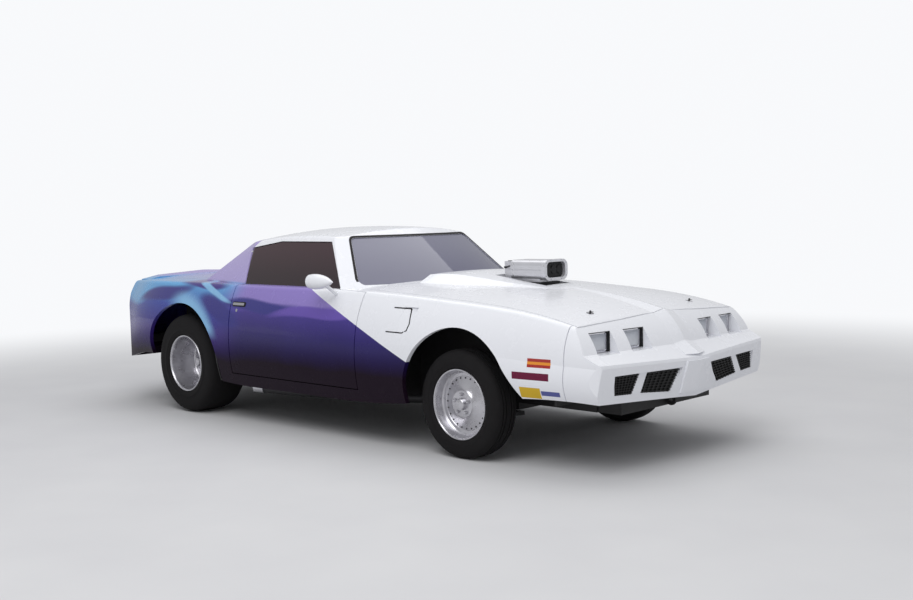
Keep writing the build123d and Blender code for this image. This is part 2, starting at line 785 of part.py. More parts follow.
with BuildPart() as centre_block:
    with BuildSketch(Plane.YZ.offset(NOSE_X - CENTRE_BLOCK_DEPTH)):
        with BuildLine():
            Polyline(
                (-block_half, block_high),
                (block_half, block_high),
                (block_low_half, block_low),
                (-block_low_half, block_low),
                close=True,
            )
        make_face()
    extrude(amount=CENTRE_BLOCK_DEPTH)
    add(block_face, mode=Mode.INTERSECT)
with BuildPart() as nose:
    add(shell)
    add(nose_region, mode=Mode.INTERSECT)
    add(beak_sides)
    add(nose_region, mode=Mode.INTERSECT)
    add(bonnet_opening, mode=Mode.SUBTRACT)
    add(pockets.part)
    add(pocket_holes, mode=Mode.SUBTRACT)
    add(centre_block.part)
    add(seam_groove, mode=Mode.SUBTRACT)
write(nose.part, "nose_panel")

# Lamps at the back of their pockets
with BuildPart() as headlamps:
    for side in (-1, 1):
        for near, far in LAMP_YS:
            with BuildSketch(face_plane(side, POCKET_BACK)):
                with Locations([((near + far) / 2, sum(LAMP_Z) / 2)]):
                    RectangleRounded(far - near, LAMP_Z[1] - LAMP_Z[0], LAMP_ROUND)
            extrude(amount=side * (POCKET_BACK - LAMP_FACE))
write(headlamps.part, "headlamps")

# Grille inserts: a plate behind each pocket with a pad in each opening
insert_outline = rectangle(GRILLE_BOX[0:2], GRILLE_BOX[2:4], -PANEL_GAP)
insert_pieces = []
for side in (-1, 1):
    insert_pieces.append(face_prism(side, insert_outline, GRILLE_PLATE))
    for points in GRILLE_OPENINGS:
        insert_pieces.append(face_prism(side, points, (GRILLE_PAD, GRILLE_PLATE[0]), SEAT_GAP))
with BuildPart() as grilles:
    add(insert_pieces)
write(grilles.part, "grille_inserts")

# Cowl panel between bonnet and windscreen, with the feet of the windscreen pillars
cowl_region = plan_prism(
    [
        (cowl_front, -BONNET_REAR_CORNER[1] + 1),
        (cowl_front, BONNET_REAR_CORNER[1] - 1),
        (wing_end, BONNET_REAR_CORNER[1] - 1),
        (wing_end, COWL_HALF),
        (from_axle(PILLAR_EDGE[0]), COWL_HALF),
        (from_axle(PILLAR_EDGE[0]), -COWL_HALF),
        (wing_end, -COWL_HALF),
        (wing_end, -BONNET_REAR_CORNER[1] + 1),
    ],
    (LID_CUT_Z, TRIM_TOP),
)
with BuildPart() as cowl:
    add(shell)
    add(cowl_region, mode=Mode.INTERSECT)
    add(bonnet_opening, mode=Mode.SUBTRACT)
write(cowl.part, "cowl_panel")

# Roof with windscreen pillars and rear pillars
screen_places = (from_axle(SCREEN_CORNER[2]) - SCREEN_CUT, NOSE_X)
backlight_places = (TAIL_X, from_axle(WINDOW_END[0]) - BACKLIGHT_CUT)
with BuildPart() as roof:
    add(cabin_rounded)
    add(cabin_inner, mode=Mode.SUBTRACT)
    add(outer, mode=Mode.SUBTRACT)
    add(window_prism((SCREEN_LOW, SCREEN_HIGH), screen_places, 0), mode=Mode.SUBTRACT)
    add(window_prism((BACKLIGHT_LOW, BACKLIGHT_HIGH), backlight_places, 0), mode=Mode.SUBTRACT)
    add(side_window_prism(0), mode=Mode.SUBTRACT)
    add(block((TAIL_X, NOSE_X), (-COWL_HALF, COWL_HALF), above), mode=Mode.INTERSECT)
write(roof.part, "roof_panel")

# Fixed glass
for name, rows, places in (
    ("windscreen", (SCREEN_LOW, SCREEN_HIGH), screen_places),
    ("backlight", (BACKLIGHT_LOW, BACKLIGHT_HIGH), backlight_places),
):
    with BuildPart() as pane:
        add(glass_outer)
        add(glass_inner, mode=Mode.SUBTRACT)
        add(outer, mode=Mode.SUBTRACT)
        add(window_prism(rows, places, SEAT_GAP), mode=Mode.INTERSECT)
    write(pane.part, name)

# Quarter panels with the rocker strips below the doors
for name, side in SIDES:
    wide = span(side, DECK_HALF, FAR / 2)
    rocker_y = span(side, ROCKER_NEAR_Y, FAR / 2)
    rocker = block((quarter_start - 1, wing_end), rocker_y, (-OPEN_BOTTOM, DOOR_LOW_Z - PANEL_GAP))
    rear = block((TAIL_X - PANEL_GAP, quarter_start), wide, above)
    arches = arch_prism(span(side, 300, FAR / 2))
    with BuildPart() as quarter:
        add([rocker, rear])
        add(shell, mode=Mode.INTERSECT)
        add(arches, mode=Mode.SUBTRACT)
    write(quarter.part, f"quarter_{name}")

# Rear deck between backlight and boot lid, with two hinge pads
deck_wide = (-DECK_HALF, DECK_HALF)
deck_region = block((lid_front + PANEL_GAP, quarter_start), deck_wide, (DECK_LOW_Z, TRIM_TOP))
pad_half, pad_reach, pad_low, pad_high = LID_PAD
pad_x = (lid_front + SEAT_GAP, lid_front + PANEL_GAP + pad_reach)
lid_pads = [block(pad_x, (y - pad_half, y + pad_half), (pad_low, pad_high)) for y in LID_PAD_YS]
with BuildPart() as deck:
    add(shell)
    add(deck_region, mode=Mode.INTERSECT)
    add(lid_pads)
write(deck.part, "rear_deck")

# Tail panel
lid_hole = block((lid_rear - PANEL_GAP, lid_front + PANEL_GAP), deck_wide, (LID_LOW_Z, TRIM_TOP))
with BuildPart() as tail_wall:
    add(shell)
    add(block((TAIL_X - PANEL_GAP, tail_seam), deck_wide, above), mode=Mode.INTERSECT)
    add(lid_hole, mode=Mode.SUBTRACT)

# Boot lid and spoiler
lid_y = (-DECK_HALF + PANEL_GAP, DECK_HALF - PANEL_GAP)
lid_region = block((lid_rear, lid_front), lid_y, (LID_LOW_Z, TRIM_TOP))
with BuildPart() as lid:
    add(lid_shell)
    add(lid_region, mode=Mode.INTERSECT)
write(lid.part, "boot_lid")
spoiler_front, spoiler_rear, spoiler_half, spoiler_low, spoiler_high = SPOILER
with BuildPart() as spoiler_region:
    with BuildSketch(Plane.YZ.offset(TAIL_X)):
        with BuildLine():
            Polyline(
                (-spoiler_half, LID_LOW_Z),
                *[(-y, z) for y, z in SPOILER_TOP],
                *reversed(SPOILER_TOP[:-1]),
                (spoiler_half, LID_LOW_Z),
                close=True,
            )
        make_face()
    extrude(amount=from_axle(spoiler_front) - TAIL_X)
with BuildPart() as spoiler:
    with BuildSketch(Plane.XZ.offset(-spoiler_half)):
        with BuildLine():
            Polyline(
                (from_axle(spoiler_front), LID_LOW_Z),
                (from_axle(spoiler_front), BELT_Z + spoiler_low),
                (from_axle(spoiler_rear), BELT_Z + spoiler_high),
                (from_axle(spoiler_rear), LID_LOW_Z),
                close=True,
            )
        make_face()
    extrude(amount=2 * spoiler_half)
    add(spoiler_region.part, mode=Mode.INTERSECT)
    add(outer, mode=Mode.SUBTRACT)
write(spoiler.part, "spoiler")

# Tail lamps, seated in the tail panel's face
lamp_near, lamp_far, lamp_low, lamp_high = TAIL_LAMP
lamp_x = (TAIL_X, TAIL_X + TAIL_LAMP_CUT)
lamp_blocks = [block(lamp_x, span(side, lamp_near, lamp_far), (lamp_low, lamp_high)) for side in (-1, 1)]
lamp_core = body_volume(TAIL_LAMP_DEPTH, OPEN_BOTTOM)
with BuildPart() as tail_lamps:
    add(lamp_blocks)
    add(outer, mode=Mode.INTERSECT)
    add(lamp_core, mode=Mode.SUBTRACT)
lamp_recess = tail_lamps.part
with BuildPart() as tail:
    add(tail_wall.part)
    add(lamp_recess, mode=Mode.SUBTRACT)
write(tail.part, "tail_panel")
write(lamp_recess, "tail_lamps")

# Doors with their glass and mirrors
for name, side in SIDES:
    wide = span(side, ROCKER_NEAR_Y, FAR / 2)
    blank = block((door_rear, door_front), wide, (DOOR_LOW_Z, TRIM_TOP))
    inboard = span(side, 0, COWL_HALF + PANEL_GAP)
    front_step = block((from_axle(SIDE_WINDOW[0][0]) - PANEL_GAP, door_front + 1), inboard, (DOOR_STEP_Z, TRIM_TOP))
    rear_step = block((door_rear - 1, from_axle(SIDE_WINDOW[-1][0]) + PANEL_GAP), inboard, (DOOR_STEP_Z, TRIM_TOP))
    glass_region = side_window_prism(GLASS_GAP)
    glass_half = block((TAIL_X, NOSE_X), span(side, 0, FAR / 2), above)
    slot_low = block(
        (from_axle(SIDE_WINDOW[-1][0]) + GLASS_GAP - SEAT_GAP, from_axle(SIDE_WINDOW[0][0]) - GLASS_GAP + SEAT_GAP),
        span(side, 0, FAR / 2),
        (GLASS_SLOT_Z, TRIM_TOP),
    )
    with BuildPart() as slot:
        add(slot_outer)
        add(slot_inner, mode=Mode.SUBTRACT)
        add(slot_low, mode=Mode.INTERSECT)
    with BuildPart() as door:
        add(outer)
        add(door_inner, mode=Mode.SUBTRACT)
        add(blank, mode=Mode.INTERSECT)
        add(cabin_hole.part, mode=Mode.SUBTRACT)
        add([front_step, rear_step], mode=Mode.SUBTRACT)
        add(slot.part, mode=Mode.SUBTRACT)
    write(door.part, f"door_{name}")
    skirt = block(
        (from_axle(SIDE_WINDOW[-1][0]) + GLASS_GAP, from_axle(SIDE_WINDOW[0][0]) - GLASS_GAP),
        span(side, 0, FAR / 2),
        (GLASS_SLOT_Z, BELT_Z),
    )
    with BuildPart() as region:
        add(glass_region)
        add(skirt)
        add(glass_half, mode=Mode.INTERSECT)
        add(block((TAIL_X, NOSE_X), full_y, (GLASS_SLOT_Z, CABIN_CAP_Z)), mode=Mode.INTERSECT)
    with BuildPart() as pane:
        add(glass_outer)
        add(glass_inner, mode=Mode.SUBTRACT)
        add(region.part, mode=Mode.INTERSECT)
    write(pane.part, f"door_glass_{name}")
    rear_x, front_x, mirror_y, mirror_z = MIRROR
    pod_axis = Axis((from_axle(rear_x), side * mirror_y, mirror_z), (1, 0, 0))
    pod_plane = Plane(origin=pod_axis.position, x_dir=(1, 0, 0), z_dir=(0, -1, 0))
    pod_length = front_x - rear_x
    foot = Vector(from_axle(STALK_FOOT[0]), side * STALK_FOOT[1], STALK_FOOT[2])
    reach = Vector(from_axle(STALK_FOOT[0]), side * mirror_y, mirror_z) - foot
    with BuildPart() as mirror:
        with BuildSketch(pod_plane):
            with BuildLine():
                Line((0, 0), (pod_length, 0))
                bow = (pod_length * MIRROR_BOW[0], MIRROR_R * MIRROR_BOW[1])
                ThreePointArc((pod_length, 0), bow, (0, MIRROR_R))
                Line((0, MIRROR_R), (0, 0))
            make_face()
        revolve(axis=pod_axis)
        with BuildSketch(Plane(origin=foot, z_dir=reach)):
            Circle(STALK_R)
        extrude(amount=reach.length)
        add(outer, mode=Mode.SUBTRACT)
    write(mirror.part, f"mirror_{name}")

# Bonnet with its centre beak, bulge and the hole for the injector hat
hole_rear, hole_front, hole_half = BONNET_HOLE
hat_hole = block((from_axle(hole_rear), from_axle(hole_front)), (-hole_half, hole_half), (DOOR_LOW_Z, TRIM_TOP))
with BuildPart() as bulge:
    for place, foot, foot_z, top, height in BULGE_STATIONS:
        with BuildSketch(Plane.YZ.offset(from_axle(place))):
            with BuildLine():
                Polyline((-top, height), (-foot, foot_z), (foot, foot_z), (top, height))
                ThreePointArc((top, height), (0, height + BULGE_CROWN), (-top, height))
            make_face()
    loft()
with BuildPart() as bonnet:
    add(beak_sides)
    add(bulge.part)
    add(lid_shell)
    add(bonnet_blank, mode=Mode.INTERSECT)
    add(lid_inner, mode=Mode.SUBTRACT)
    add(hat_hole, mode=Mode.SUBTRACT)
write(bonnet.part, "bonnet")

# Engine block with its intake neck
rear_x, front_x, half, low, high = ENGINE
neck_rear, neck_front, neck_half, neck_top = INTAKE
with BuildPart() as engine:
    with Locations([((from_axle(rear_x) + from_axle(front_x)) / 2, 0, (low + high) / 2)]):
        Box(front_x - rear_x, 2 * half, high - low)
    chamfer(engine.edges().filter_by(Axis.X).group_by(Axis.Z)[-1], ENGINE_CHAMFER)
    with Locations([((from_axle(neck_rear) + from_axle(neck_front)) / 2, 0, (high + neck_top) / 2)]):
        Box(neck_front - neck_rear, 2 * neck_half, neck_top - high)
    mount_rear, mount_front, mount_low, mount_high = ENGINE_MOUNT
    with Locations([((from_axle(mount_rear) + from_axle(mount_front)) / 2, 0, (mount_low + mount_high) / 2)]):
        Box(mount_front - mount_rear, 2 * RAIL_INNER_Y, mount_high - mount_low)
write(engine.part, "engine_block")

# Injector hat: two halves with a seam, the linkage housing behind and the mouth's ring in front
hat_rear, hat_front, hat_half, hat_low, hat_high = HAT
seam_z, seam_width, seam_depth = HAT_SEAM
ring_rear, ring_front, ring_half, ring_low, ring_high = HAT_RING
linkage_rear, linkage_half, linkage_low, linkage_high = HAT_LINKAGE
hat_mid = (hat_low + hat_high) / 2
foot_x = (from_axle(neck_rear) + HAT_WALL, from_axle(neck_front) - HAT_WALL)
neck_foot = block(foot_x, (HAT_WALL - neck_half, neck_half - HAT_WALL), (neck_top, hat_mid))
linkage_x = (from_axle(linkage_rear), from_axle(hat_rear))
linkage = block(linkage_x, (-linkage_half, linkage_half), (linkage_low, linkage_high))
with BuildPart() as hat:
    with BuildSketch(Plane.YZ.offset(from_axle(hat_rear))):
        with Locations([(0, hat_mid)]):
            RectangleRounded(2 * hat_half, hat_high - hat_low, HAT_ROUND)
    extrude(amount=hat_front - hat_rear)
    add(
        [
            block(
                (from_axle(hat_rear) - seam_depth, from_axle(hat_front)),
                span(side, hat_half - seam_depth, hat_half + seam_depth),
                (seam_z - seam_width / 2, seam_z + seam_width / 2),
            )
            for side in (-1, 1)
        ],
        mode=Mode.SUBTRACT,
    )
    with BuildSketch(Plane.YZ.offset(from_axle(ring_rear))):
        with Locations([(0, (ring_low + ring_high) / 2)]):
            RectangleRounded(2 * ring_half, ring_high - ring_low, HAT_RING_ROUND)
    extrude(amount=ring_front - ring_rear)
    add(linkage)
    add(neck_foot)
    with BuildSketch(Plane.YZ.offset(from_axle(ring_front))):
        with Locations([(0, hat_mid)]):
            RectangleRounded(2 * (hat_half - HAT_WALL), hat_high - hat_low - 2 * HAT_WALL, HAT_ROUND - HAT_WALL / 2)
    extrude(amount=-HAT_MOUTH, mode=Mode.SUBTRACT)
write(hat.part, "injector_hat")

# Floor with tunnel, firewall, rear bulkhead and the doors' hinge pads
floor_core = block((bulkhead_x, firewall_x), full_y, (FLOOR_Z, FLOOR_Z + SHEET))
firewall = block((firewall_x - SHEET, firewall_x), full_y, (FLOOR_Z, TRIM_TOP))
bulkhead = block((bulkhead_x - SHEET, bulkhead_x), full_y, (FLOOR_Z, TRIM_TOP))
tunnel = block((bulkhead_x, firewall_x), (-TUNNEL_HALF, TUNNEL_HALF), (FLOOR_Z, TUNNEL_Z))
tunnel_hollow = block(
    (bulkhead_x - SHEET, firewall_x + 1), (-TUNNEL_HALF + SHEET, TUNNEL_HALF - SHEET), (FLOOR_Z - 1, TUNNEL_Z - SHEET)
)
hinge_pads = [
    block(
        (door_front + SEAT_GAP, firewall_x - SHEET),
        span(side, HINGE_PAD_Y[0], HINGE_PAD_Y[1]),
        (height - HINGE_PAD_HALF, height + HINGE_PAD_HALF),
    )
    for side in (-1, 1)
    for height in HINGE_PAD_ZS
]
with BuildPart() as floor:
    add([floor_core, firewall, bulkhead, tunnel])
    add(hinge_pads)
    add(inner, mode=Mode.INTERSECT)
    add(tunnel_hollow, mode=Mode.SUBTRACT)
write(floor.part, "floor_pan")

# Front rails, crossmembers, aprons, radiator support and bonnet buffers
rail_x = (firewall_x, from_axle(RAIL_FRONT))
support_x = from_axle(SUPPORT_X)
under_bonnet = body_volume(LID_SKIN + SEAT_GAP)
frame_blocks = []
for side in (-1, 1):
    frame_blocks.append(
        block(rail_x, span(side, RAIL_INNER_Y, RAIL_INNER_Y + RAIL_WIDTH), (RAIL_LOW_Z, RAIL_LOW_Z + RAIL_HEIGHT))
    )
    frame_blocks.append(
        block((firewall_x, support_x), span(side, APRON_Y, APRON_Y + SHEET), (RAIL_LOW_Z, APRON_TOP_Z))
    )
cross_y = (-RAIL_INNER_Y, RAIL_INNER_Y)
cross_half, cross_fall, cross_rise = CROSS
cross_x = (FRONT_AXLE_X - cross_half, FRONT_AXLE_X + cross_half)
frame_blocks.append(block(cross_x, cross_y, (RAIL_LOW_Z - cross_fall, RAIL_LOW_Z + cross_rise)))
front_cross_x = (rail_x[1] - FRONT_CROSS_LENGTH, rail_x[1])
frame_blocks.append(block(front_cross_x, cross_y, (RAIL_LOW_Z, RAIL_LOW_Z + RAIL_HEIGHT)))
support = block((support_x - SHEET, support_x), full_y, SUPPORT_Z)
buffers = [
    block((support_x - 2 * BUFFER_HALF, support_x), (y - BUFFER_HALF, y + BUFFER_HALF), (BUFFER_LOW_Z, TRIM_TOP))
    for y in BUFFER_YS
]
with BuildPart() as buffer_posts:
    add(buffers)
    add(under_bonnet, mode=Mode.INTERSECT)
with BuildPart() as support_panel:
    add(support)
    add(inner, mode=Mode.INTERSECT)
with BuildPart() as frame:
    add(frame_blocks)
    add(support_panel.part)
    add(buffer_posts.part)
    with BuildSketch(Plane.XZ.offset(-TOW_EYE_THICK / 2)):
        with Locations([(rail_x[1] + TOW_EYE_OUTER_R - 4, RAIL_LOW_Z + TOW_EYE_OUTER_R)]):
            Circle(TOW_EYE_OUTER_R)
            Circle(TOW_EYE_R, mode=Mode.SUBTRACT)
    extrude(amount=TOW_EYE_THICK)
write(frame.part, "front_rails")

# Boot floor, wheel tubs and rear rails
boot_end = from_axle(BOOT_END)
boot_blocks = [block((boot_end, bulkhead_x - SHEET), (-TUB_Y, TUB_Y), (BOOT_FLOOR_Z, BOOT_FLOOR_Z + SHEET))]
for side in (-1, 1):
    tub = (REAR_AXLE_X - TUB_HALF, bulkhead_x - SHEET)
    boot_blocks.append(block(tub, span(side, TUB_Y, TUB_REACH), (TUB_TOP_Z, TUB_TOP_Z + SHEET)))
    boot_blocks.append(block(tub, span(side, TUB_Y - SHEET, TUB_Y), (BOOT_FLOOR_Z, TUB_TOP_Z + SHEET)))
    rail_y = span(side, REAR_RAIL_Y, REAR_RAIL_Y + REAR_RAIL_WIDTH)
    boot_blocks.append(block((boot_end, bulkhead_x - SHEET), rail_y, (BOOT_FLOOR_Z - REAR_RAIL_HEIGHT, BOOT_FLOOR_Z)))
cross_length, cross_reach = REAR_CROSS
rear_cross_x = (boot_end, boot_end + cross_length)
boot_blocks.append(block(rear_cross_x, (-cross_reach, cross_reach), (BOOT_FLOOR_Z - REAR_RAIL_HEIGHT, BOOT_FLOOR_Z)))
with BuildPart() as boot_floor:
    add(boot_blocks)
    add(inner, mode=Mode.INTERSECT)
    with BuildSketch(Plane.XZ.offset(-TOW_EYE_THICK / 2)):
        with Locations([(boot_end + TOW_EYE_OUTER_R, (REAR_EYE_Z + BOOT_FLOOR_Z - REAR_RAIL_HEIGHT) / 2)]):
            Rectangle(2 * TOW_EYE_OUTER_R, BOOT_FLOOR_Z - REAR_RAIL_HEIGHT - REAR_EYE_Z)
        with Locations([(boot_end + TOW_EYE_OUTER_R, REAR_EYE_Z)]):
            Circle(TOW_EYE_OUTER_R)
            Circle(TOW_EYE_R, mode=Mode.SUBTRACT)
    extrude(amount=TOW_EYE_THICK)
write(boot_floor.part, "boot_floor")

# Roll cage
with BuildPart() as cage:
    hoop_x = from_axle(HOOP_X)
    floor_top = FLOOR_Z + SHEET
    with BuildLine(Plane.YZ.offset(hoop_x)) as hoop_path:
        FilletPolyline(
            (-HOOP_FOOT_Y, floor_top),
            (-HOOP_FOOT_Y, HOOP_WAIST_Z),
            (-HOOP_TOP_Y, HOOP_TOP_Z),
            (HOOP_TOP_Y, HOOP_TOP_Z),
            (HOOP_FOOT_Y, HOOP_WAIST_Z),
            (HOOP_FOOT_Y, floor_top),
            radius=CAGE_BEND_R,
        )
    with BuildSketch(Plane(origin=hoop_path.line @ 0, z_dir=hoop_path.line % 0)):
        Circle(TUBE_R)
    sweep(path=hoop_path.line)
    for side in (-1, 1):
        with BuildLine() as bar_path:
            FilletPolyline(
                (hoop_x, side * (HOOP_TOP_Y - BAR_JOIN[0]), HOOP_TOP_Z - BAR_JOIN[1]),
                (from_axle(BAR_FRONT[0]), side * BAR_FRONT[1], BAR_FRONT[2]),
                (from_axle(BAR_KNEE[0]), side * BAR_KNEE[1], BAR_KNEE[2]),
                (from_axle(BAR_KNEE[0]), side * BAR_KNEE[1], floor_top),
                radius=CAGE_BEND_R / 2,
            )
        with BuildSketch(Plane(origin=bar_path.line @ 0, z_dir=bar_path.line % 0)):
            Circle(TUBE_R)
        sweep(path=bar_path.line)
write(cage.part, "roll_cage")

# Dashboard, steering wheel with column, seat
dash_rear, dash_half, dash_low, dash_high = DASH
with BuildPart() as dash:
    with Locations([((from_axle(dash_rear) + firewall_x - SHEET) / 2, 0, (dash_low + dash_high) / 2)]):
        Box(firewall_x - SHEET - from_axle(dash_rear), 2 * dash_half, dash_high - dash_low)
    fillet(dash.edges().filter_by(Axis.Y).group_by(Axis.X)[0], DASH_ROUND)
    add(inner, mode=Mode.INTERSECT)
write(dash.part, "dash_panel")
ring_centre = Vector(from_axle(WHEEL_CENTRE[0]), WHEEL_CENTRE[1], WHEEL_CENTRE[2])
column_end = Vector(from_axle(dash_rear), WHEEL_CENTRE[1], dash_low + COLUMN_RISE)
column_line = column_end - ring_centre
ring_plane = Plane(origin=ring_centre, z_dir=column_line)
with BuildPart() as steering:
    with BuildSketch(ring_plane.offset(-WHEEL_GRIP_R)):
        Circle(WHEEL_RING_R + WHEEL_GRIP_R)
        Circle(WHEEL_RING_R - WHEEL_GRIP_R, mode=Mode.SUBTRACT)
        with PolarLocations(WHEEL_RING_R / 2, SPOKE_COUNT, start_angle=90):
            Rectangle(WHEEL_RING_R, SPOKE_WIDTH)
        Circle(2 * COLUMN_R)
    extrude(amount=2 * WHEEL_GRIP_R)
    with BuildSketch(ring_plane):
        Circle(COLUMN_R)
    extrude(amount=column_line.length + COLUMN_SEAT)
    add(dash.part, mode=Mode.SUBTRACT)
write(steering.part, "steering_wheel")
seat_rear = from_axle(SEAT_REAR)
foot_rear, foot_front = SEAT_FOOT
with BuildPart() as seat:
    with BuildSketch(Plane.XZ.offset(-SEAT_Y - SEAT_HALF)):
        with BuildLine():
            Polyline(
                (seat_rear + foot_rear, floor_top),
                (seat_rear + foot_front, floor_top),
                *[(seat_rear + ahead, height) for ahead, height in SEAT_SHELL],
                close=True,
            )
        make_face()
    extrude(amount=2 * SEAT_HALF)
    with BuildSketch(Plane.XZ.offset(-SEAT_Y - SEAT_HALF + SEAT_SIDE)):
        with BuildLine():
            Polyline(*[(seat_rear + ahead, height) for ahead, height in SEAT_WELL], close=True)
        make_face()
    extrude(amount=2 * (SEAT_HALF - SEAT_SIDE), mode=Mode.SUBTRACT)
write(seat.part, "race_seat")


def tyre_side(radius, flange_y, wall_y, inward):
    """One side of a tyre's outline from the rim's bed to the tread, as radius and place on the axle."""
    foot_rise, foot_draw = SIDEWALL_FOOT
    points = [
        (BARREL_R, flange_y),
        (RIM_R + BEAD_RISE, flange_y),
        (RIM_R + foot_rise, wall_y + inward * foot_draw),
        ((radius + RIM_R) / 2 + SIDEWALL_LIFT, wall_y),
    ]
    return points + [(radius - fall, wall_y + inward * draw) for fall, draw in TYRE_SHOULDER]


def wheel(name, side, axle_x, radius, face_y, tyre_width, disc_y, hub_y):
    """Rim with hub, lugs and cap, and its tyre."""
    plane = Plane(origin=(axle_x, 0, radius), x_dir=(1, 0, 0), z_dir=(0, 0, 1))
    axle = Axis((axle_x, 0, radius), (0, 1, 0))
    inside_y = face_y - tyre_width + 2 * TYRE_PROUD
    outer_flange = face_y - FLANGE_WIDTH
    inner_flange = inside_y + FLANGE_WIDTH
    barrel_inside = BARREL_R - BARREL_WALL
    rim_points = [
        (RIM_R, inside_y),
        (RIM_R, inner_flange),
        (BARREL_R, inner_flange),
        (BARREL_R, outer_flange),
        (RIM_R, outer_flange),
        (RIM_R, face_y),
        (barrel_inside, face_y),
        (barrel_inside, disc_y + DISC_THICK + DISC_RISE),
        (DISC_FLAT_R, disc_y + DISC_THICK),
        (HUB_R + HUB_FOOT, disc_y + DISC_THICK),
        (HUB_R, hub_y),
        (CAP_R, hub_y),
        (CAP_R - CAP_TAPER, hub_y + CAP_LENGTH),
        (0, hub_y + CAP_LENGTH),
        (0, hub_y - HUB_FLOOR),
        (SPINDLE_R + RUNNING_FIT, hub_y - HUB_FLOOR),
        (SPINDLE_R + RUNNING_FIT, disc_y),
        (DISC_FLAT_R, disc_y),
        (barrel_inside, disc_y + DISC_RISE),
        (barrel_inside, inside_y),
    ]
    with BuildPart() as rim:
        with BuildSketch(plane):
            with BuildLine():
                Polyline(*[(r, side * y) for r, y in rim_points], close=True)
            make_face()
        revolve(axis=axle)
        for index in range(LUG_COUNT):
            angle = math.radians(90 + 360 * index / LUG_COUNT)
            lug_x = axle_x + LUG_CIRCLE_R * math.cos(angle)
            lug_z = radius + LUG_CIRCLE_R * math.sin(angle)
            with BuildSketch(Plane(origin=(lug_x, side * (hub_y - LUG_SINK), lug_z), z_dir=(0, side, 0))):
                RegularPolygon(LUG_R, 6)
            extrude(amount=LUG_LENGTH)
    write(rim.part, f"rim_{name}")
    tyre_points = tyre_side(radius, inner_flange, inside_y - TYRE_PROUD, 1)
    tyre_points += reversed(tyre_side(radius, outer_flange, face_y + TYRE_PROUD, -1))
    with BuildPart() as tyre:
        with BuildSketch(plane):
            with BuildLine():
                Polyline(*[(r, side * y) for r, y in tyre_points], close=True)
            make_face()
        revolve(axis=axle)
    write(tyre.part, f"tyre_{name}")


for name, side in SIDES:
    wheel(
        f"front_{name}", side, FRONT_AXLE_X, FRONT_TYRE_R, FRONT_FACE_Y, FRONT_TYRE_WIDTH, FRONT_DISC_Y, FRONT_HUB_Y
    )
    wheel(f"rear_{name}", side, REAR_AXLE_X, REAR_TYRE_R, REAR_FACE_Y, REAR_TYRE_WIDTH, REAR_DISC_Y, REAR_HUB_Y)

# Knuckles on their steering posts, with backing plates and spindles
for name, side in SIDES:
    low = FRONT_TYRE_R - ARM_SPREAD + ARM_THICK / 2 + SEAT_GAP
    high = FRONT_TYRE_R + ARM_SPREAD - ARM_THICK / 2 - SEAT_GAP
    plate_start = (FRONT_AXLE_X, side * (KINGPIN_Y + ARM_END_R + PLATE_CLEAR), FRONT_TYRE_R)
    with BuildPart() as knuckle:
        with BuildSketch(Plane.XY.offset(low)):
            with Locations([(FRONT_AXLE_X, side * KINGPIN_Y)]):
                Circle(POST_R)
        extrude(amount=high - low)
        with BuildSketch(Plane(origin=(FRONT_AXLE_X, side * KINGPIN_Y, FRONT_TYRE_R), z_dir=(0, side, 0))):
            Circle(SPINDLE_R)
        extrude(amount=FRONT_HUB_Y - HUB_FLOOR - SEAT_GAP - KINGPIN_Y)
        with BuildSketch(Plane(origin=plate_start, z_dir=(0, side, 0))):
            Circle(PLATE_R)
        extrude(amount=PLATE_THICK)
    write(knuckle.part, f"knuckle_{name}")

# Control arms from the front rails and the aprons to the steering posts
arm_roots = (
    (FRONT_TYRE_R - ARM_SPREAD, RAIL_INNER_Y),
    (FRONT_TYRE_R + ARM_SPREAD, APRON_Y + SHEET),
)
with BuildPart() as arms:
    for side in (-1, 1):
        for height, root in arm_roots:
            with BuildSketch(Plane.XY.offset(height - ARM_THICK / 2)):
                with BuildLine():
                    Polyline(
                        (FRONT_AXLE_X - 3 * ARM_HALF, side * root),
                        (FRONT_AXLE_X + 3 * ARM_HALF, side * root),
                        (FRONT_AXLE_X + ARM_HALF, side * (KINGPIN_Y - ARM_NECK)),
                        (FRONT_AXLE_X + ARM_HALF - ARM_TAPER, side * KINGPIN_Y),
                        (FRONT_AXLE_X - ARM_HALF + ARM_TAPER, side * KINGPIN_Y),
                        (FRONT_AXLE_X - ARM_HALF, side * (KINGPIN_Y - ARM_NECK)),
                        close=True,
                    )
                make_face()
                with Locations([(FRONT_AXLE_X, side * KINGPIN_Y)]):
                    Circle(ARM_END_R)
            extrude(amount=ARM_THICK)
write(arms.part, "control_arms")

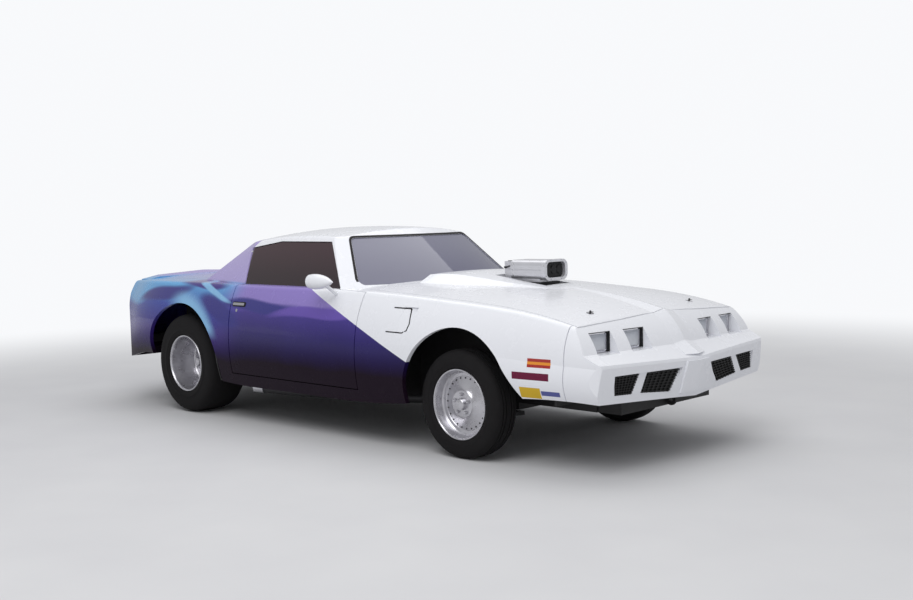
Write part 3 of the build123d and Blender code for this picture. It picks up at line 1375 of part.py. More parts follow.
# Rear axle with differential, ladder bars, backing plates and the posts under the rails
root_back, root_ahead, root_rise, root_fall = LADDER_ROOT
end_low, end_high = LADDER_END
post_r, post_back, post_rise = AXLE_POST
plate_y = REAR_DISC_Y - PLATE_INSET
spindle_y = REAR_HUB_Y - HUB_FLOOR - SEAT_GAP
bar_y = REAR_RAIL_Y + REAR_RAIL_WIDTH / 2
with BuildPart() as rear_axle:
    for radius, reach in ((AXLE_R, plate_y), (SPINDLE_R, spindle_y)):
        with BuildSketch(Plane.XZ.offset(-reach)):
            with Locations([(REAR_AXLE_X, REAR_TYRE_R)]):
                Circle(radius)
        extrude(amount=2 * reach)
    with Locations([(REAR_AXLE_X, 0, REAR_TYRE_R)]):
        Sphere(DIFFERENTIAL_R)
    for side in (-1, 1):
        with BuildSketch(Plane(origin=(REAR_AXLE_X, side * plate_y, REAR_TYRE_R), z_dir=(0, side, 0))):
            Circle(PLATE_R)
        extrude(amount=PLATE_THICK)
        with BuildSketch(Plane.XZ.offset(-side * bar_y - LADDER_HALF)):
            with BuildLine():
                Polyline(
                    (REAR_AXLE_X - root_back, REAR_TYRE_R + root_rise),
                    (REAR_AXLE_X + root_ahead, REAR_TYRE_R + root_rise),
                    (bulkhead_x - SHEET, FLOOR_Z + end_high),
                    (bulkhead_x - SHEET, FLOOR_Z + end_low),
                    (REAR_AXLE_X - root_back, REAR_TYRE_R - root_fall),
                    close=True,
                )
            make_face()
        extrude(amount=2 * LADDER_HALF)
        with BuildSketch(Plane.XY.offset(REAR_TYRE_R + post_rise)):
            with Locations([(REAR_AXLE_X - post_back, side * bar_y)]):
                Circle(post_r)
        extrude(amount=BOOT_FLOOR_Z - REAR_RAIL_HEIGHT - REAR_TYRE_R - post_rise)
write(rear_axle.part, "rear_axle")
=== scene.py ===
import math

import bmesh
import bpy
from mathutils import Matrix, Vector
from mathutils.bvhtree import BVHTree


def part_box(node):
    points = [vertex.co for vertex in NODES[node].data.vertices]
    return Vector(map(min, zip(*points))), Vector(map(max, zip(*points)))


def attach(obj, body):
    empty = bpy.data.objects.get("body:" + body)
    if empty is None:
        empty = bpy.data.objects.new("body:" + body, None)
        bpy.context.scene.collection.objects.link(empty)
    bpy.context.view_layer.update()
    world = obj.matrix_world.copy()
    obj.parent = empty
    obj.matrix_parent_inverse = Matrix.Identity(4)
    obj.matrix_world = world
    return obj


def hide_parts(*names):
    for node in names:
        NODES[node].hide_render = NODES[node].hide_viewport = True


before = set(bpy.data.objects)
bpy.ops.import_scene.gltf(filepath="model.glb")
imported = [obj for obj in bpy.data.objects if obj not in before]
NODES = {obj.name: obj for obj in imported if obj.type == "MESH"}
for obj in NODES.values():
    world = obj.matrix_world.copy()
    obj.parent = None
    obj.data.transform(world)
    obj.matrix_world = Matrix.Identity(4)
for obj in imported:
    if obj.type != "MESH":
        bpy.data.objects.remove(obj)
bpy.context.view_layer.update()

# Places in metres, in the row frame: +X forward, +Y to the car's left, +Z up
AHEAD = Vector((1.0, 0.0, 0.0))
LEFT = Vector((0.0, 1.0, 0.0))
UP = Vector((0.0, 0.0, 1.0))
SIDES = (("right", -1), ("left", 1))
FRONT_AXLE_X = (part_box("tyre_front_right")[0].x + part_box("tyre_front_right")[1].x) / 2
REAR_AXLE_X = (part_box("tyre_rear_right")[0].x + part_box("tyre_rear_right")[1].x) / 2
FRONT_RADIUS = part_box("tyre_front_right")[1].z / 2
REAR_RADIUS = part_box("tyre_rear_right")[1].z / 2
# How far out rays toward the car start
RAY_START = 4.0

# Camera, from the photograph's perspective
CAMERA_PLACE = (FRONT_AXLE_X + 4.550, -5.476, 1.394)
CAMERA_YAW = math.radians(44.354)
CAMERA_PITCH = math.radians(4.196)
CAMERA_ROLL = math.radians(-1.369)
CAMERA_LENS = 45.275
SENSOR_WIDTH = 36.0

# Lights: name, place, what it points at, size, power
LIGHTS = (
    ("key", (3.0, -4.5, 6.5), (0.3, 0.0, 0.6), (5.0, 5.0), 245.0),
    ("top", (-1.0, 1.5, 7.0), (0.0, 0.0, 0.5), (8.0, 6.0), 200.0),
)
# Scene-linear colour of the backdrop, and the strength of the light it gives
BACKDROP = (0.94, 0.95, 0.97, 1.0)
BACKDROP_LIGHT = 0.52
# Floor: half its side, its two greys, where it starts to fade into the backdrop and where it's gone
FLOOR_REACH = 30.0
FLOOR_GREYS = ((0.80, 0.80, 0.81), (0.84, 0.84, 0.845))
FLOOR_FADE = (3.2, 9.0)

# Paint colours as they look, from 0 to 1; LILAC and PALE_SKY also serve for painted highlights
WHITE = (0.92, 0.925, 0.945)
LILAC = (0.55, 0.48, 0.76)
PALE_LILAC = (0.66, 0.61, 0.81)
VIOLET = (0.39, 0.30, 0.66)
INDIGO = (0.24, 0.18, 0.52)
DEEP = (0.15, 0.11, 0.38)
NIGHT = (0.105, 0.055, 0.115)
BLUE = (0.20, 0.27, 0.62)
NAVY = (0.19, 0.18, 0.50)
SKY = (0.38, 0.65, 0.86)
PALE_SKY = (0.52, 0.72, 0.88)
PURPLE = (0.24, 0.17, 0.50)
GRIME = (0.30, 0.27, 0.28)

# Colours by height over the door and over the rear quarter, and where one fade turns into the other; the
# door's violet and lilac top is paint lightened by a painted highlight on its shoulder
FRONT_FADE = ((0.44, NIGHT), (0.62, DEEP), (0.775, INDIGO), (0.815, VIOLET), (0.84, LILAC))
REAR_FADE = ((0.42, NIGHT), (0.62, PURPLE), (0.80, BLUE), (0.94, SKY))
FADE_CHANGE = (-0.92, -0.52)
# Clouds that shift the fades: their noise scale and detail, their height, and how much more they shift along
DRIFT_NOISE = (2.2, 3.0)
DRIFT_HEIGHT = 0.04
DRIFT_ALONG = 2.0
# Sweeps of colour over the door and the quarter: centre x, height, half length, half thickness, tilt, colour
SWEEPS = (
    (-0.42, 0.818, 0.50, 0.052, 0.02, NAVY),
    (0.22, 0.797, 0.56, 0.042, 0.06, VIOLET),
    (-2.15, 0.880, 0.42, 0.130, 0.10, SKY),
    (-1.62, 0.870, 0.46, 0.062, 0.16, NAVY),
    (-1.12, 0.950, 0.36, 0.040, 0.02, PURPLE),
    (-0.98, 0.905, 0.30, 0.026, -0.22, PALE_SKY),
    (-0.86, 0.775, 0.30, 0.085, -0.25, NAVY),
)
SWEEP_EDGE = (0.30, 1.0)
WAVE_RATE = 7.0
WAVE_HEIGHT = 0.018
# Painted highlight ahead of and over the rear wheel opening: height of its middle, then where each side of it
# fades
ARCH_HIGHLIGHT_Z = 0.36
ARCH_HIGHLIGHT_RING = (0.47, 0.56)
ARCH_HIGHLIGHT_AHEAD = (-0.20, 0.05)
ARCH_HIGHLIGHT_FOOT = (0.55, 0.66)
# Pale rear pillars: where they fade in by height and toward the rear, and how far that leans
PILLAR_FOOT = (0.950, 0.975)
PILLAR_BACK = (0.60, 0.64)
PILLAR_LEAN_Z = 0.97
PILLAR_LEAN = 0.5
# Straight edge of the white over the door and the wing: a place on it, the way across it, its softness
EDGE_PLACE = (0.1195, 0.941)
EDGE_SLOPE = (0.386, 0.9225)
EDGE_SOFT = 0.0015
# The roof's white: place of its rear end, the height where that holds, the lean, the softness, the foot
ROOF_WHITE_X = -0.80
ROOF_WHITE_Z = 1.20
ROOF_WHITE_LEAN = -0.9
ROOF_WHITE_SOFT = 0.002
ROOF_WHITE_FOOT = (1.17, 1.174)
# Plain panels of colour on the wings: centre x, height, half length, half height, colour
STICKERS = (
    (2.028, 0.618, 0.075, 0.009, (0.66, 0.22, 0.20)),
    (2.028, 0.602, 0.075, 0.008, (0.90, 0.58, 0.22)),
    (2.028, 0.587, 0.075, 0.008, (0.66, 0.22, 0.20)),
    (1.975, 0.531, 0.120, 0.020, (0.42, 0.13, 0.24)),
    (1.965, 0.440, 0.068, 0.030, (0.82, 0.68, 0.22)),
    (2.095, 0.443, 0.060, 0.013, (0.36, 0.38, 0.60)),
)
STICKER_EDGE = (0.97, 1.0)
# The paint's surface: noise scale, detail and roughness of its dust, grain, and where grime and gloss change
DUST_NOISE = (9.0, 6.0, 0.65)
GRAIN_NOISE = (420.0, 1.0)
GRAIN_BUMP = (0.015, 0.0004)
GRIME_TOP = (0.26, 0.62)
GRIME_SHARE = 0.08
GLOSS_FOOT = (0.45, 0.85)
# Its roughness, clear coat and gloss: what dust or height adds, and the least
PAINT_ROUGH = (0.06, 0.24)
COAT_SHARE = 0.3
COAT_ROUGH = 0.08
PAINT_GLOSS = (0.33, 0.07)

# The nose's swept face: its centre behind the foremost point, and its sweep
FACE_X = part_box("nose_panel")[1].x - 0.012
FACE_SWEEP = 0.09
# Lamps: depth of their face behind the nose's, spans across and up, round of their corners
LAMP_DEPTH = 0.188
LAMP_YS = ((0.294, 0.451), (0.565, 0.722))
LAMP_Z = (0.652, 0.757)
LAMP_ROUND = 0.010
# Section of a lamp's bezel: distance out from the lamp's edge, distance ahead of its face
BEZEL_SECTION = ((0.003, 0.001), (0.003, 0.010), (-0.007, 0.010), (-0.010, 0.003))
# Lenses: inset, distance ahead of the lamp's face, height of the dome, flutes and grid
LENS_INSET = 0.006
LENS_PROUD = 0.003
LENS_DOME = 0.005
FLUTE_HEIGHT = 0.0008
FLUTE_COLUMNS = 4
LENS_COLUMNS = 48
LENS_ROWS = 14
# Dark strips of painted shadow above and beside each lamp: gap, far edge, and depths from the lamp's face
SHADOW_STRIP_GAP = 0.0005
SHADOW_STRIP_EDGE = 0.0045
SHADOW_STRIP_DEPTHS = (LAMP_DEPTH - 0.026, LAMP_DEPTH + 0.030)
# Grille openings in the face, as distance from the centre line and height: top near and far, low near and far
GRILLE_OPENINGS = (
    ((0.490, 0.538), (0.690, 0.541), (0.556, 0.434), (0.690, 0.440)),
    ((0.150, 0.532), (0.428, 0.536), (0.242, 0.412), (0.484, 0.432)),
)
GRILLE_DEPTH = 0.020
GRILLE_SLATS = 8
GRILLE_UPRIGHTS = 7
SLAT_HALF = 0.0016
SLAT_DEPTHS = (GRILLE_DEPTH - 0.002, GRILLE_DEPTH + 0.007)
UPRIGHT_DEPTHS = (GRILLE_DEPTH, GRILLE_DEPTH + 0.007)

# Wheel outlines: the face of the rim that places are measured from, then their radius and distance outward
FRONT_FACES = {"face": 0.826, "hub": 0.796, "disc": 0.752, "inside": 0.666}
REAR_FACES = {"face": 0.880, "hub": 0.712, "disc": 0.664, "inside": 0.580}
RIM_LIP = (
    ("face", ((0.195, -0.009), (0.200, -0.010), (0.206, -0.008), (0.206, -0.003), (0.204, 0.0),
              (0.199, 0.0), (0.1955, -0.004), (0.193, -0.012))),
)
RIM_BACK = (
    ("hub", ((0.0, -0.006), (0.0325, -0.006))),
    ("disc", ((0.0325, 0.0), (0.143, 0.0), (0.188, 0.010))),
    ("inside", ((0.189, 0.001), (0.206, 0.0), (0.206, 0.009), (0.195, 0.009))),
)
FRONT_DISH = (
    ("face", ((0.190, -0.020), (0.1875, -0.035))),
    ("disc", ((0.186, 0.022), (0.178, 0.014), (0.160, 0.013), (0.157, 0.010), (0.135, 0.013),
              (0.110, 0.022), (0.090, 0.032))),
    ("hub", ((0.083, -0.006), (0.079, 0.0), (0.070, 0.002))),
)
REAR_DISH = (
    ("face", ((0.1915, -0.022), (0.190, -0.045), (0.1875, -0.052), (0.186, -0.120))),
    ("disc", ((0.1835, 0.022), (0.176, 0.013), (0.150, 0.013), (0.120, 0.019), (0.095, 0.030))),
    ("hub", ((0.085, -0.008), (0.079, 0.0), (0.070, 0.002))),
)
FRONT_CAP = (
    ("hub", ((0.036, 0.0), (0.0345, 0.004), (0.033, 0.022), (0.029, 0.026), (0.016, 0.029), (0.0, 0.030))),
)
REAR_CAP = (
    ("hub", ((0.048, 0.0), (0.040, 0.004), (0.035, 0.020), (0.033, 0.062), (0.029, 0.070), (0.016, 0.074),
             (0.0, 0.075))),
)
# Tyre sides: radius, distance inward from the widest place, which stands proud of the rim
TYRE_PROUD = 0.010
TYRE_BEAD = ((0.1955, 0.019), (0.2075, 0.0185), (0.2085, 0.015), (0.214, 0.008), (0.223, 0.0045))
FRONT_TYRE = (
    (0.236, 0.002), (0.2366, 0.0008), (0.240, 0.0006), (0.2406, 0.0014), (0.262, 0.0), (0.280, 0.0022),
    (0.292, 0.0065), (0.3015, 0.0135), (0.3085, 0.022), (0.313, 0.033), (0.3145, 0.043), (0.3075, 0.0435),
    (0.3075, 0.0495), (0.315, 0.050), (0.3157, 0.065), (0.308, 0.0655), (0.308, 0.0725), (0.3159, 0.073),
)
REAR_TYRE = (
    (0.243, 0.002), (0.2436, 0.0008), (0.248, 0.0006), (0.2486, 0.0012), (0.275, 0.0), (0.300, 0.001),
    (0.318, 0.0035), (0.330, 0.008), (0.340, 0.016), (0.3475, 0.026), (0.3535, 0.040), (0.3575, 0.058),
    (0.3598, 0.085), (0.3607, 0.120),
)
WHEEL_STEPS = 96
# Places nearer than this are one place
SAME_PLACE = 0.00001
# Wheels: name, axle x, radius, faces, outside of the rim, tyre side, whether the rim is riveted
WHEELS = (
    ("front", FRONT_AXLE_X, FRONT_RADIUS, FRONT_FACES, FRONT_DISH + FRONT_CAP, FRONT_TYRE, True),
    ("rear", REAR_AXLE_X, REAR_RADIUS, REAR_FACES, REAR_DISH + REAR_CAP, REAR_TYRE, False),
)
# Heads round the axle: the face they start from, distance out from it, circle, count, radius, height, corners
LUG_NUTS = ("hub", -0.001, 0.057, 5, 0.0105, 0.020, 6)
RIVETS = ("disc", 0.009, 0.148, 24, 0.0050, 0.006, 10)
# A head's shoulder as a share of its height, and its top as a share of its radius
HEAD_SHOULDER = 0.7
HEAD_TOP = 0.6

# Injector hat: its front and middle
HAT_FRONT = FRONT_AXLE_X + 0.060
HAT_MID_Z = 1.050
# Sheet in the mouth: depth, thickness, half width, half height; then the round plates on it
THROTTLE_SHEET = (0.024, 0.004, 0.084, 0.044)
THROTTLE_YS = (-0.056, 0.0, 0.056)
THROTTLE_SECTION = ((0.0, 0.027), (0.006, 0.027), (0.006, 0.024))
# Screws round the mouth: distance across and up from the middle; distance ahead and radius of a head
HAT_SCREWS = ((0.096, 0.040), (0.096, -0.040), (0.050, 0.0575), (0.050, -0.0575))
SCREW_SECTION = ((-0.002, 0.0042), (0.002, 0.0042), (0.003, 0.0026))
# Linkage behind the hat: its origin, ends of its rods as x and z, their distance from the centre line
LINKAGE_X = FRONT_AXLE_X - 0.311
LINKAGE_ROD = ((0.012, 1.062), (0.084, 1.080))
LINKAGE_ROD_Y = 0.066
LINKAGE_ROD_RADIUS = 0.004
# Bars of the linkage: x from and to, half width, z from and to
LINKAGE_BARS = (
    (0.006, 0.018, 0.074, 1.056, 1.068),
    (0.020, 0.078, 0.050, 1.1005, 1.1040),
)
# Bonnet pins: x from the front axle and y, the plate under each, the pin's section
BONNET_PINS = ((0.694, 0.489), (0.694, -0.489))
PIN_PLATE_RADIUS = 0.022
PIN_PLATE_LIFT = 0.0012
PIN_SECTION = ((0.0, 0.0055), (0.013, 0.0055), (0.016, 0.0035))
# Ring through each pin: height, radius, sideways offset, thickness of its wire
PIN_RING = (0.007, 0.012, 0.010, 0.0012)

# Rubber round the glass: name, corners as y and z, the way of its rays
WINDOW_RUBBERS = (
    ("screen_rubber", ((-0.712, 0.968), (0.712, 0.968), (0.536, 1.264), (-0.536, 1.264)), -1.0),
    ("backlight_rubber", ((-0.640, 0.985), (0.640, 0.985), (0.490, 1.240), (-0.490, 1.240)), 1.0),
)
# Rounds of its corners, its two edges outward from them, its lift, and the spacing of places along strips
WINDOW_ROUNDS = (0.022, 0.022, 0.050, 0.050)
RUBBER_EDGES = (0.001, 0.013)
RUBBER_LIFT = 0.0016
STRIP_SPACING = 0.02

# Dark line of painted shadow round the recessed vent in each wing: x from the front axle and z of its inner
# and of its outer edge
VENT_SHADOW_LINES = (
    (-0.497, 0.853, -0.497, 0.860),
    (-0.368, 0.850, -0.361, 0.857),
    (-0.361, 0.843, -0.354, 0.850),
    (-0.351, 0.767, -0.344, 0.767),
    (-0.362, 0.730, -0.356, 0.726),
    (-0.386, 0.717, -0.384, 0.710),
    (-0.523, 0.719, -0.523, 0.712),
)
VENT_SHADOW_STEPS = 8
VENT_SHADOW_LIFT = 0.0008

# Door handles: place as x and z; half length, half height, round and lift of the base and of the grip
HANDLE_PLACE = (FRONT_AXLE_X - 2.012, 0.824)
HANDLE_BASE = (0.078, 0.016, 0.014, 0.0015)
HANDLE_GRIP = (0.066, 0.0085, 0.008, 0.0070)
# Locks: place from the handle's, radius, lift
LOCK_OFFSET = Vector((-0.020, 0.0, -0.042))
LOCK_RADIUS = 0.011
LOCK_LIFT = 0.002
# Mirrors: radius of the shell, then distance ahead and radius of the glass's section
MIRROR_RADIUS = 0.044
MIRROR_GLASS = ((0.002, 0.040), (-0.001, 0.040), (-0.0015, 0.037))

# Tail lamps: spans across and up, then their frames and the ribs over them
TAIL_LAMP_YS = (0.290, 0.585)
TAIL_LAMP_Z = (0.690, 0.800)
TAIL_FRAME_ROUND = 0.004
TAIL_FRAME_EDGES = (-0.003, 0.008)
TAIL_FRAME_ARC_STEPS = 2
TAIL_FRAME_LIFT = 0.003
TAIL_RIBS = 4
RIB_EDGES = (-0.003, 0.003)
RIB_INSET = 0.004
RIB_STEPS = 12
RIB_LIFT = 0.0025
# Blank rear plate: two of its corners as y and z, and their round
PLATE_LOW = (-0.1525, 0.486)
PLATE_HIGH = (0.1525, 0.639)
PLATE_ROUND = 0.006
# Its layers: name, slot, material, how much wider than the plate, two depths from the tail's rearmost place
PLATE_LAYERS = (
    ("rear_plate", "paint_white", "plate", 0.0, (0.0002, 0.0020)),
    ("rear_plate_rim", "grille_black", "black", 0.006, (0.0008, 0.068)),
)

# Gearbox section: x from the front axle, radius; the height of its middle, the driveshaft and its rear end
GEARBOX = (
    (-0.560, 0.120), (-0.640, 0.118), (-0.690, 0.072), (-0.780, 0.070), (-1.200, 0.058), (-1.300, 0.040),
)
GEARBOX_Z = 0.334
SHAFT_RADIUS = 0.038
SHAFT_END_AHEAD = 0.110
SHAFT_END_DROP = 0.012
# Exhaust: x from the front axle, distance from the centre line, z
EXHAUST = (
    (-0.300, 0.262, 0.560),
    (-0.420, 0.300, 0.500),
    (-0.560, 0.310, 0.330),
    (-0.700, 0.320, 0.235),
    (-1.000, 0.430, 0.218),
    (-1.500, 0.580, 0.218),
    (-2.060, 0.690, 0.218),
)
EXHAUST_PARTS = 6
EXHAUST_RADIUS = 0.036
# Its tips: the way they point as x and sideways, then distance along that way and radius
TIP_WAY = (-0.98, 0.19)
TIP_SECTION = ((-0.030, 0.041), (0.060, 0.041), (0.062, 0.038), (0.050, 0.036), (0.010, 0.034))

# Steps round the round pieces
THROTTLE_STEPS = 32
SCREW_STEPS = 10
PIN_STEPS = 12
WIRE_STEPS = 6
SHAFT_STEPS = 24
PIPE_STEPS = 20
MIRROR_STEPS = 40

# Materials of the solids' nodes
NODE_MATERIALS = {
    "paint": ("nose_panel", "cowl_panel", "quarter_right", "quarter_left", "rear_deck", "tail_panel",
              "roof_panel", "bonnet", "boot_lid", "spoiler", "door_right", "door_left", "mirror_right",
              "mirror_left"),
    "wing_paint": ("wing_right", "wing_left"),
    "underbody": ("floor_pan", "front_rails", "boot_floor", "rear_axle", "control_arms"),
    "smoked": ("door_glass_right", "door_glass_left"),
    "screen": ("windscreen", "backlight"),
    "lamp_glass": ("headlamps",),
    "tail_red": ("tail_lamps",),
    "black": ("grille_inserts",),
    "cabin": ("dash_panel", "steering_wheel"),
    "cast": ("engine_block", "knuckle_right", "knuckle_left"),
    "alloy": ("injector_hat",),
    "cage": ("roll_cage",),
    "seat": ("race_seat",),
    "polished": ("rim_front_right", "rim_front_left", "rim_rear_right", "rim_rear_left"),
    "tyre": ("tyre_front_right", "tyre_front_left", "tyre_rear_right", "tyre_rear_left"),
}


def linear(colour):
    """A colour as it looks on a screen, as scene-linear values with alpha."""
    values = [c / 12.92 if c <= 0.04045 else ((c + 0.055) / 1.055) ** 2.4 for c in colour]
    return (*values, 1.0)


def shaded(colour, share):
    """A colour made darker or lighter."""
    return [min(1.0, c * share) for c in colour]


class Tree:
    """Short calls that build one material's nodes."""

    def __init__(self, name):
        self.material = bpy.data.materials.new(name)
        self.material.use_nodes = True
        self.nodes = self.material.node_tree.nodes
        self.links = self.material.node_tree.links
        self.shader = self.nodes["Principled BSDF"]

    def link(self, value, socket):
        if isinstance(value, bpy.types.NodeSocket):
            self.links.new(value, socket)
        else:
            socket.default_value = value

    def place(self):
        return self.nodes.new("ShaderNodeTexCoord").outputs["Object"]

    def split(self, vector):
        node = self.nodes.new("ShaderNodeSeparateXYZ")
        self.link(vector, node.inputs[0])
        return list(node.outputs)

    def math(self, operation, first, second=0.0, third=0.0):
        node = self.nodes.new("ShaderNodeMath")
        node.operation = operation
        for value, socket in zip((first, second, third), node.inputs):
            self.link(value, socket)
        return node.outputs[0]

    def add(self, first, second):
        return self.math("ADD", first, second)

    def sub(self, first, second):
        return self.math("SUBTRACT", first, second)

    def mul(self, first, second):
        return self.math("MULTIPLY", first, second)

    def length(self, first, second):
        """The distance that two distances at right angles make."""
        return self.math("SQRT", self.add(self.mul(first, first), self.mul(second, second)))

    def ratio_square(self, value, size):
        return self.math("POWER", self.math("DIVIDE", value, size), 2.0)

    def step(self, value, low, high):
        """0 below low and 1 above high, smooth between them."""
        node = self.nodes.new("ShaderNodeMapRange")
        node.interpolation_type = "SMOOTHSTEP"
        self.link(value, node.inputs["Value"])
        node.inputs["From Min"].default_value = low
        node.inputs["From Max"].default_value = high
        return node.outputs["Result"]

    def fall(self, value, low, high):
        """1 below low and 0 above high, smooth between them."""
        return self.sub(1.0, self.step(value, low, high))

    def mix(self, factor, first, second):
        node = self.nodes.new("ShaderNodeMix")
        node.data_type = "RGBA"
        self.link(factor, node.inputs["Factor"])
        self.link(first, node.inputs[6])
        self.link(second, node.inputs[7])
        return node.outputs[2]

    def noise(self, vector, scale, detail=2.0, roughness=0.5):
        node = self.nodes.new("ShaderNodeTexNoise")
        self.link(vector, node.inputs["Vector"])
        node.inputs["Scale"].default_value = scale
        node.inputs["Detail"].default_value = detail
        node.inputs["Roughness"].default_value = roughness
        return node.outputs["Fac"]

    def ramp(self, value, stops):
        """Colour stops given as (place, colour as it looks)."""
        node = self.nodes.new("ShaderNodeValToRGB")
        self.link(value, node.inputs[0])
        elements = node.color_ramp.elements
        for element, (place, colour) in zip(elements, (stops[0], stops[-1])):
            element.position, element.color = place, linear(colour)
        for place, colour in stops[1:-1]:
            elements.new(place).color = linear(colour)
        return node.outputs[0]

    def bump(self, height, strength, distance):
        node = self.nodes.new("ShaderNodeBump")
        node.inputs["Strength"].default_value = strength
        node.inputs["Distance"].default_value = distance
        self.link(height, node.inputs["Height"])
        self.links.new(node.outputs[0], self.shader.inputs["Normal"])

    def set(self, **values):
        names = {
            "colour": "Base Color",
            "metal": "Metallic",
            "rough": "Roughness",
            "alpha": "Alpha",
            "coat": "Coat Weight",
            "coat_rough": "Coat Roughness",
            "gloss": "Specular IOR Level",
            "glow": "Emission Strength",
            "glow_colour": "Emission Color",
            "sheen": "Sheen Weight",
        }
        for key, value in values.items():
            self.link(value, self.shader.inputs[names[key]])
        return self.material


# Paint

def sweep(tree, x, z, centre, height, length, thick, tilt):
    """1 inside a long, wavy, soft spot on the car's side and 0 outside it."""
    along = tree.sub(x, centre)
    up = tree.sub(tree.sub(z, height), tree.mul(along, tilt))
    wave = tree.mul(tree.math("SINE", tree.mul(along, WAVE_RATE)), WAVE_HEIGHT)
    up = tree.add(up, wave)
    far = tree.add(tree.ratio_square(along, length), tree.ratio_square(up, thick))
    return tree.fall(far, *SWEEP_EDGE)


def arch_highlight(tree, x, z):
    """1 on the painted highlight round the front of the rear wheel opening."""
    back = tree.sub(x, REAR_AXLE_X)
    ring = tree.length(back, tree.sub(z, ARCH_HIGHLIGHT_Z))
    glow = tree.mul(tree.fall(ring, *ARCH_HIGHLIGHT_RING), tree.step(back, *ARCH_HIGHLIGHT_AHEAD))
    return tree.mul(glow, tree.step(z, *ARCH_HIGHLIGHT_FOOT))


def white_area(tree, x, z):
    """1 on the nose, the front of the doors and the roof."""
    edge = tree.add(tree.mul(tree.sub(x, EDGE_PLACE[0]), EDGE_SLOPE[0]),
                    tree.mul(tree.sub(z, EDGE_PLACE[1]), EDGE_SLOPE[1]))
    front = tree.step(edge, -EDGE_SOFT, EDGE_SOFT)
    slant = tree.math("MULTIPLY_ADD", tree.sub(z, ROOF_WHITE_Z), ROOF_WHITE_LEAN, x)
    ahead = tree.step(slant, ROOF_WHITE_X - ROOF_WHITE_SOFT, ROOF_WHITE_X + ROOF_WHITE_SOFT)
    roof = tree.mul(tree.step(z, *ROOF_WHITE_FOOT), ahead)
    return tree.math("MAXIMUM", front, roof)


def livery_with_highlights(tree, place, x, z):
    """The car's paint scheme, with painted highlights on the door's shoulder and round the rear wheel
    opening, as a colour for each place on the body.
    """
    drift = tree.noise(place, *DRIFT_NOISE)
    wobble = tree.math("MULTIPLY_ADD", drift, 2 * DRIFT_HEIGHT, -DRIFT_HEIGHT)
    height = tree.add(z, wobble)
    in_front = tree.step(tree.add(x, tree.mul(wobble, DRIFT_ALONG)), *FADE_CHANGE)
    # The door's fade ends in a lighter top: paint with a painted highlight on its shoulder
    colour = tree.mix(in_front, tree.ramp(height, REAR_FADE), tree.ramp(height, FRONT_FADE))
    for *shape, shade in SWEEPS:
        colour = tree.mix(sweep(tree, x, z, *shape), colour, linear(shade))
    # Painted highlight round the rear wheel opening
    colour = tree.mix(arch_highlight(tree, x, z), colour, linear(PALE_SKY))
    lean = tree.math("MULTIPLY_ADD", tree.sub(z, PILLAR_LEAN_Z), PILLAR_LEAN, tree.mul(x, -1.0))
    pillar = tree.mul(tree.step(z, *PILLAR_FOOT), tree.step(lean, *PILLAR_BACK))
    colour = tree.mix(pillar, colour, linear(PALE_LILAC))
    return tree.mix(white_area(tree, x, z), colour, linear(WHITE))


def add_stickers(tree, x, z, colour):
    """Plain panels of colour on the wings."""
    for centre, height, length, tall, shade in STICKERS:
        across = tree.math("DIVIDE", tree.math("ABSOLUTE", tree.sub(x, centre)), length)
        up = tree.math("DIVIDE", tree.math("ABSOLUTE", tree.sub(z, height)), tall)
        inside = tree.fall(tree.math("MAXIMUM", across, up), *STICKER_EDGE)
        colour = tree.mix(inside, colour, linear(shade))
    return colour


def car_paint(name, stickers=False):
    """The paint scheme with its painted highlights, under a clear coat that dulls toward the car's foot."""
    tree = Tree(name)
    place = tree.place()
    x, z = tree.split(place)[::2]
    colour = livery_with_highlights(tree, place, x, z)
    if stickers:
        colour = add_stickers(tree, x, z, colour)
    dust = tree.noise(place, *DUST_NOISE)
    grime = tree.mul(tree.mul(dust, tree.fall(z, *GRIME_TOP)), GRIME_SHARE)
    colour = tree.mix(grime, colour, linear(GRIME))
    tree.bump(tree.noise(place, *GRAIN_NOISE), *GRAIN_BUMP)
    clean = tree.step(z, *GLOSS_FOOT)
    return tree.set(
        colour=colour,
        rough=tree.math("MULTIPLY_ADD", dust, *PAINT_ROUGH),
        coat=tree.mul(clean, COAT_SHARE),
        coat_rough=COAT_ROUGH,
        gloss=tree.math("MULTIPLY_ADD", clean, *PAINT_GLOSS),
    )


# Other materials

def surface(name, dark, light, clouds, grain, bump, rough, **more):
    """A material with clouds between two colours and fine grain; rough holds the middle and the spread."""
    tree = Tree(name)
    place = tree.place()
    cloud = tree.noise(place, *clouds)
    colour = tree.mix(cloud, linear(dark), linear(light))
    tree.bump(tree.noise(place, *grain), *bump)
    middle, spread = rough
    roughness = tree.math("MULTIPLY_ADD", cloud, spread, middle - spread / 2)
    return tree.set(colour=colour, rough=roughness, **more)


def satin_metal(name, colour, rough=0.4, metal=1.0, spots=0.12):
    return surface(name, shaded(colour, 1 - spots), colour, clouds=(14.0, 6.0, 0.6), grain=(260.0, 2.0),
                   bump=(0.08, 0.0005), rough=(rough, 0.18), metal=metal)


def polished_metal(name):
    return surface(name, (0.66, 0.65, 0.67), (0.88, 0.88, 0.90), clouds=(10.0, 5.0, 0.6),
                   grain=(340.0, 2.0), bump=(0.05, 0.0004), rough=(0.28, 0.16), metal=0.85)


def rubber(name, colour=(0.075, 0.07, 0.075), rough=0.82):
    return surface(name, shaded(colour, 0.6), shaded(colour, 1.5), clouds=(16.0, 6.0, 0.7),
                   grain=(300.0, 3.0), bump=(0.25, 0.0008), rough=(rough, 0.14), gloss=0.25)


def plastic(name, colour, rough=0.5, grain=500.0):
    return surface(name, shaded(colour, 0.8), shaded(colour, 1.15), clouds=(12.0, 4.0),
                   grain=(grain, 2.0), bump=(0.15, 0.0005), rough=(rough, 0.12))


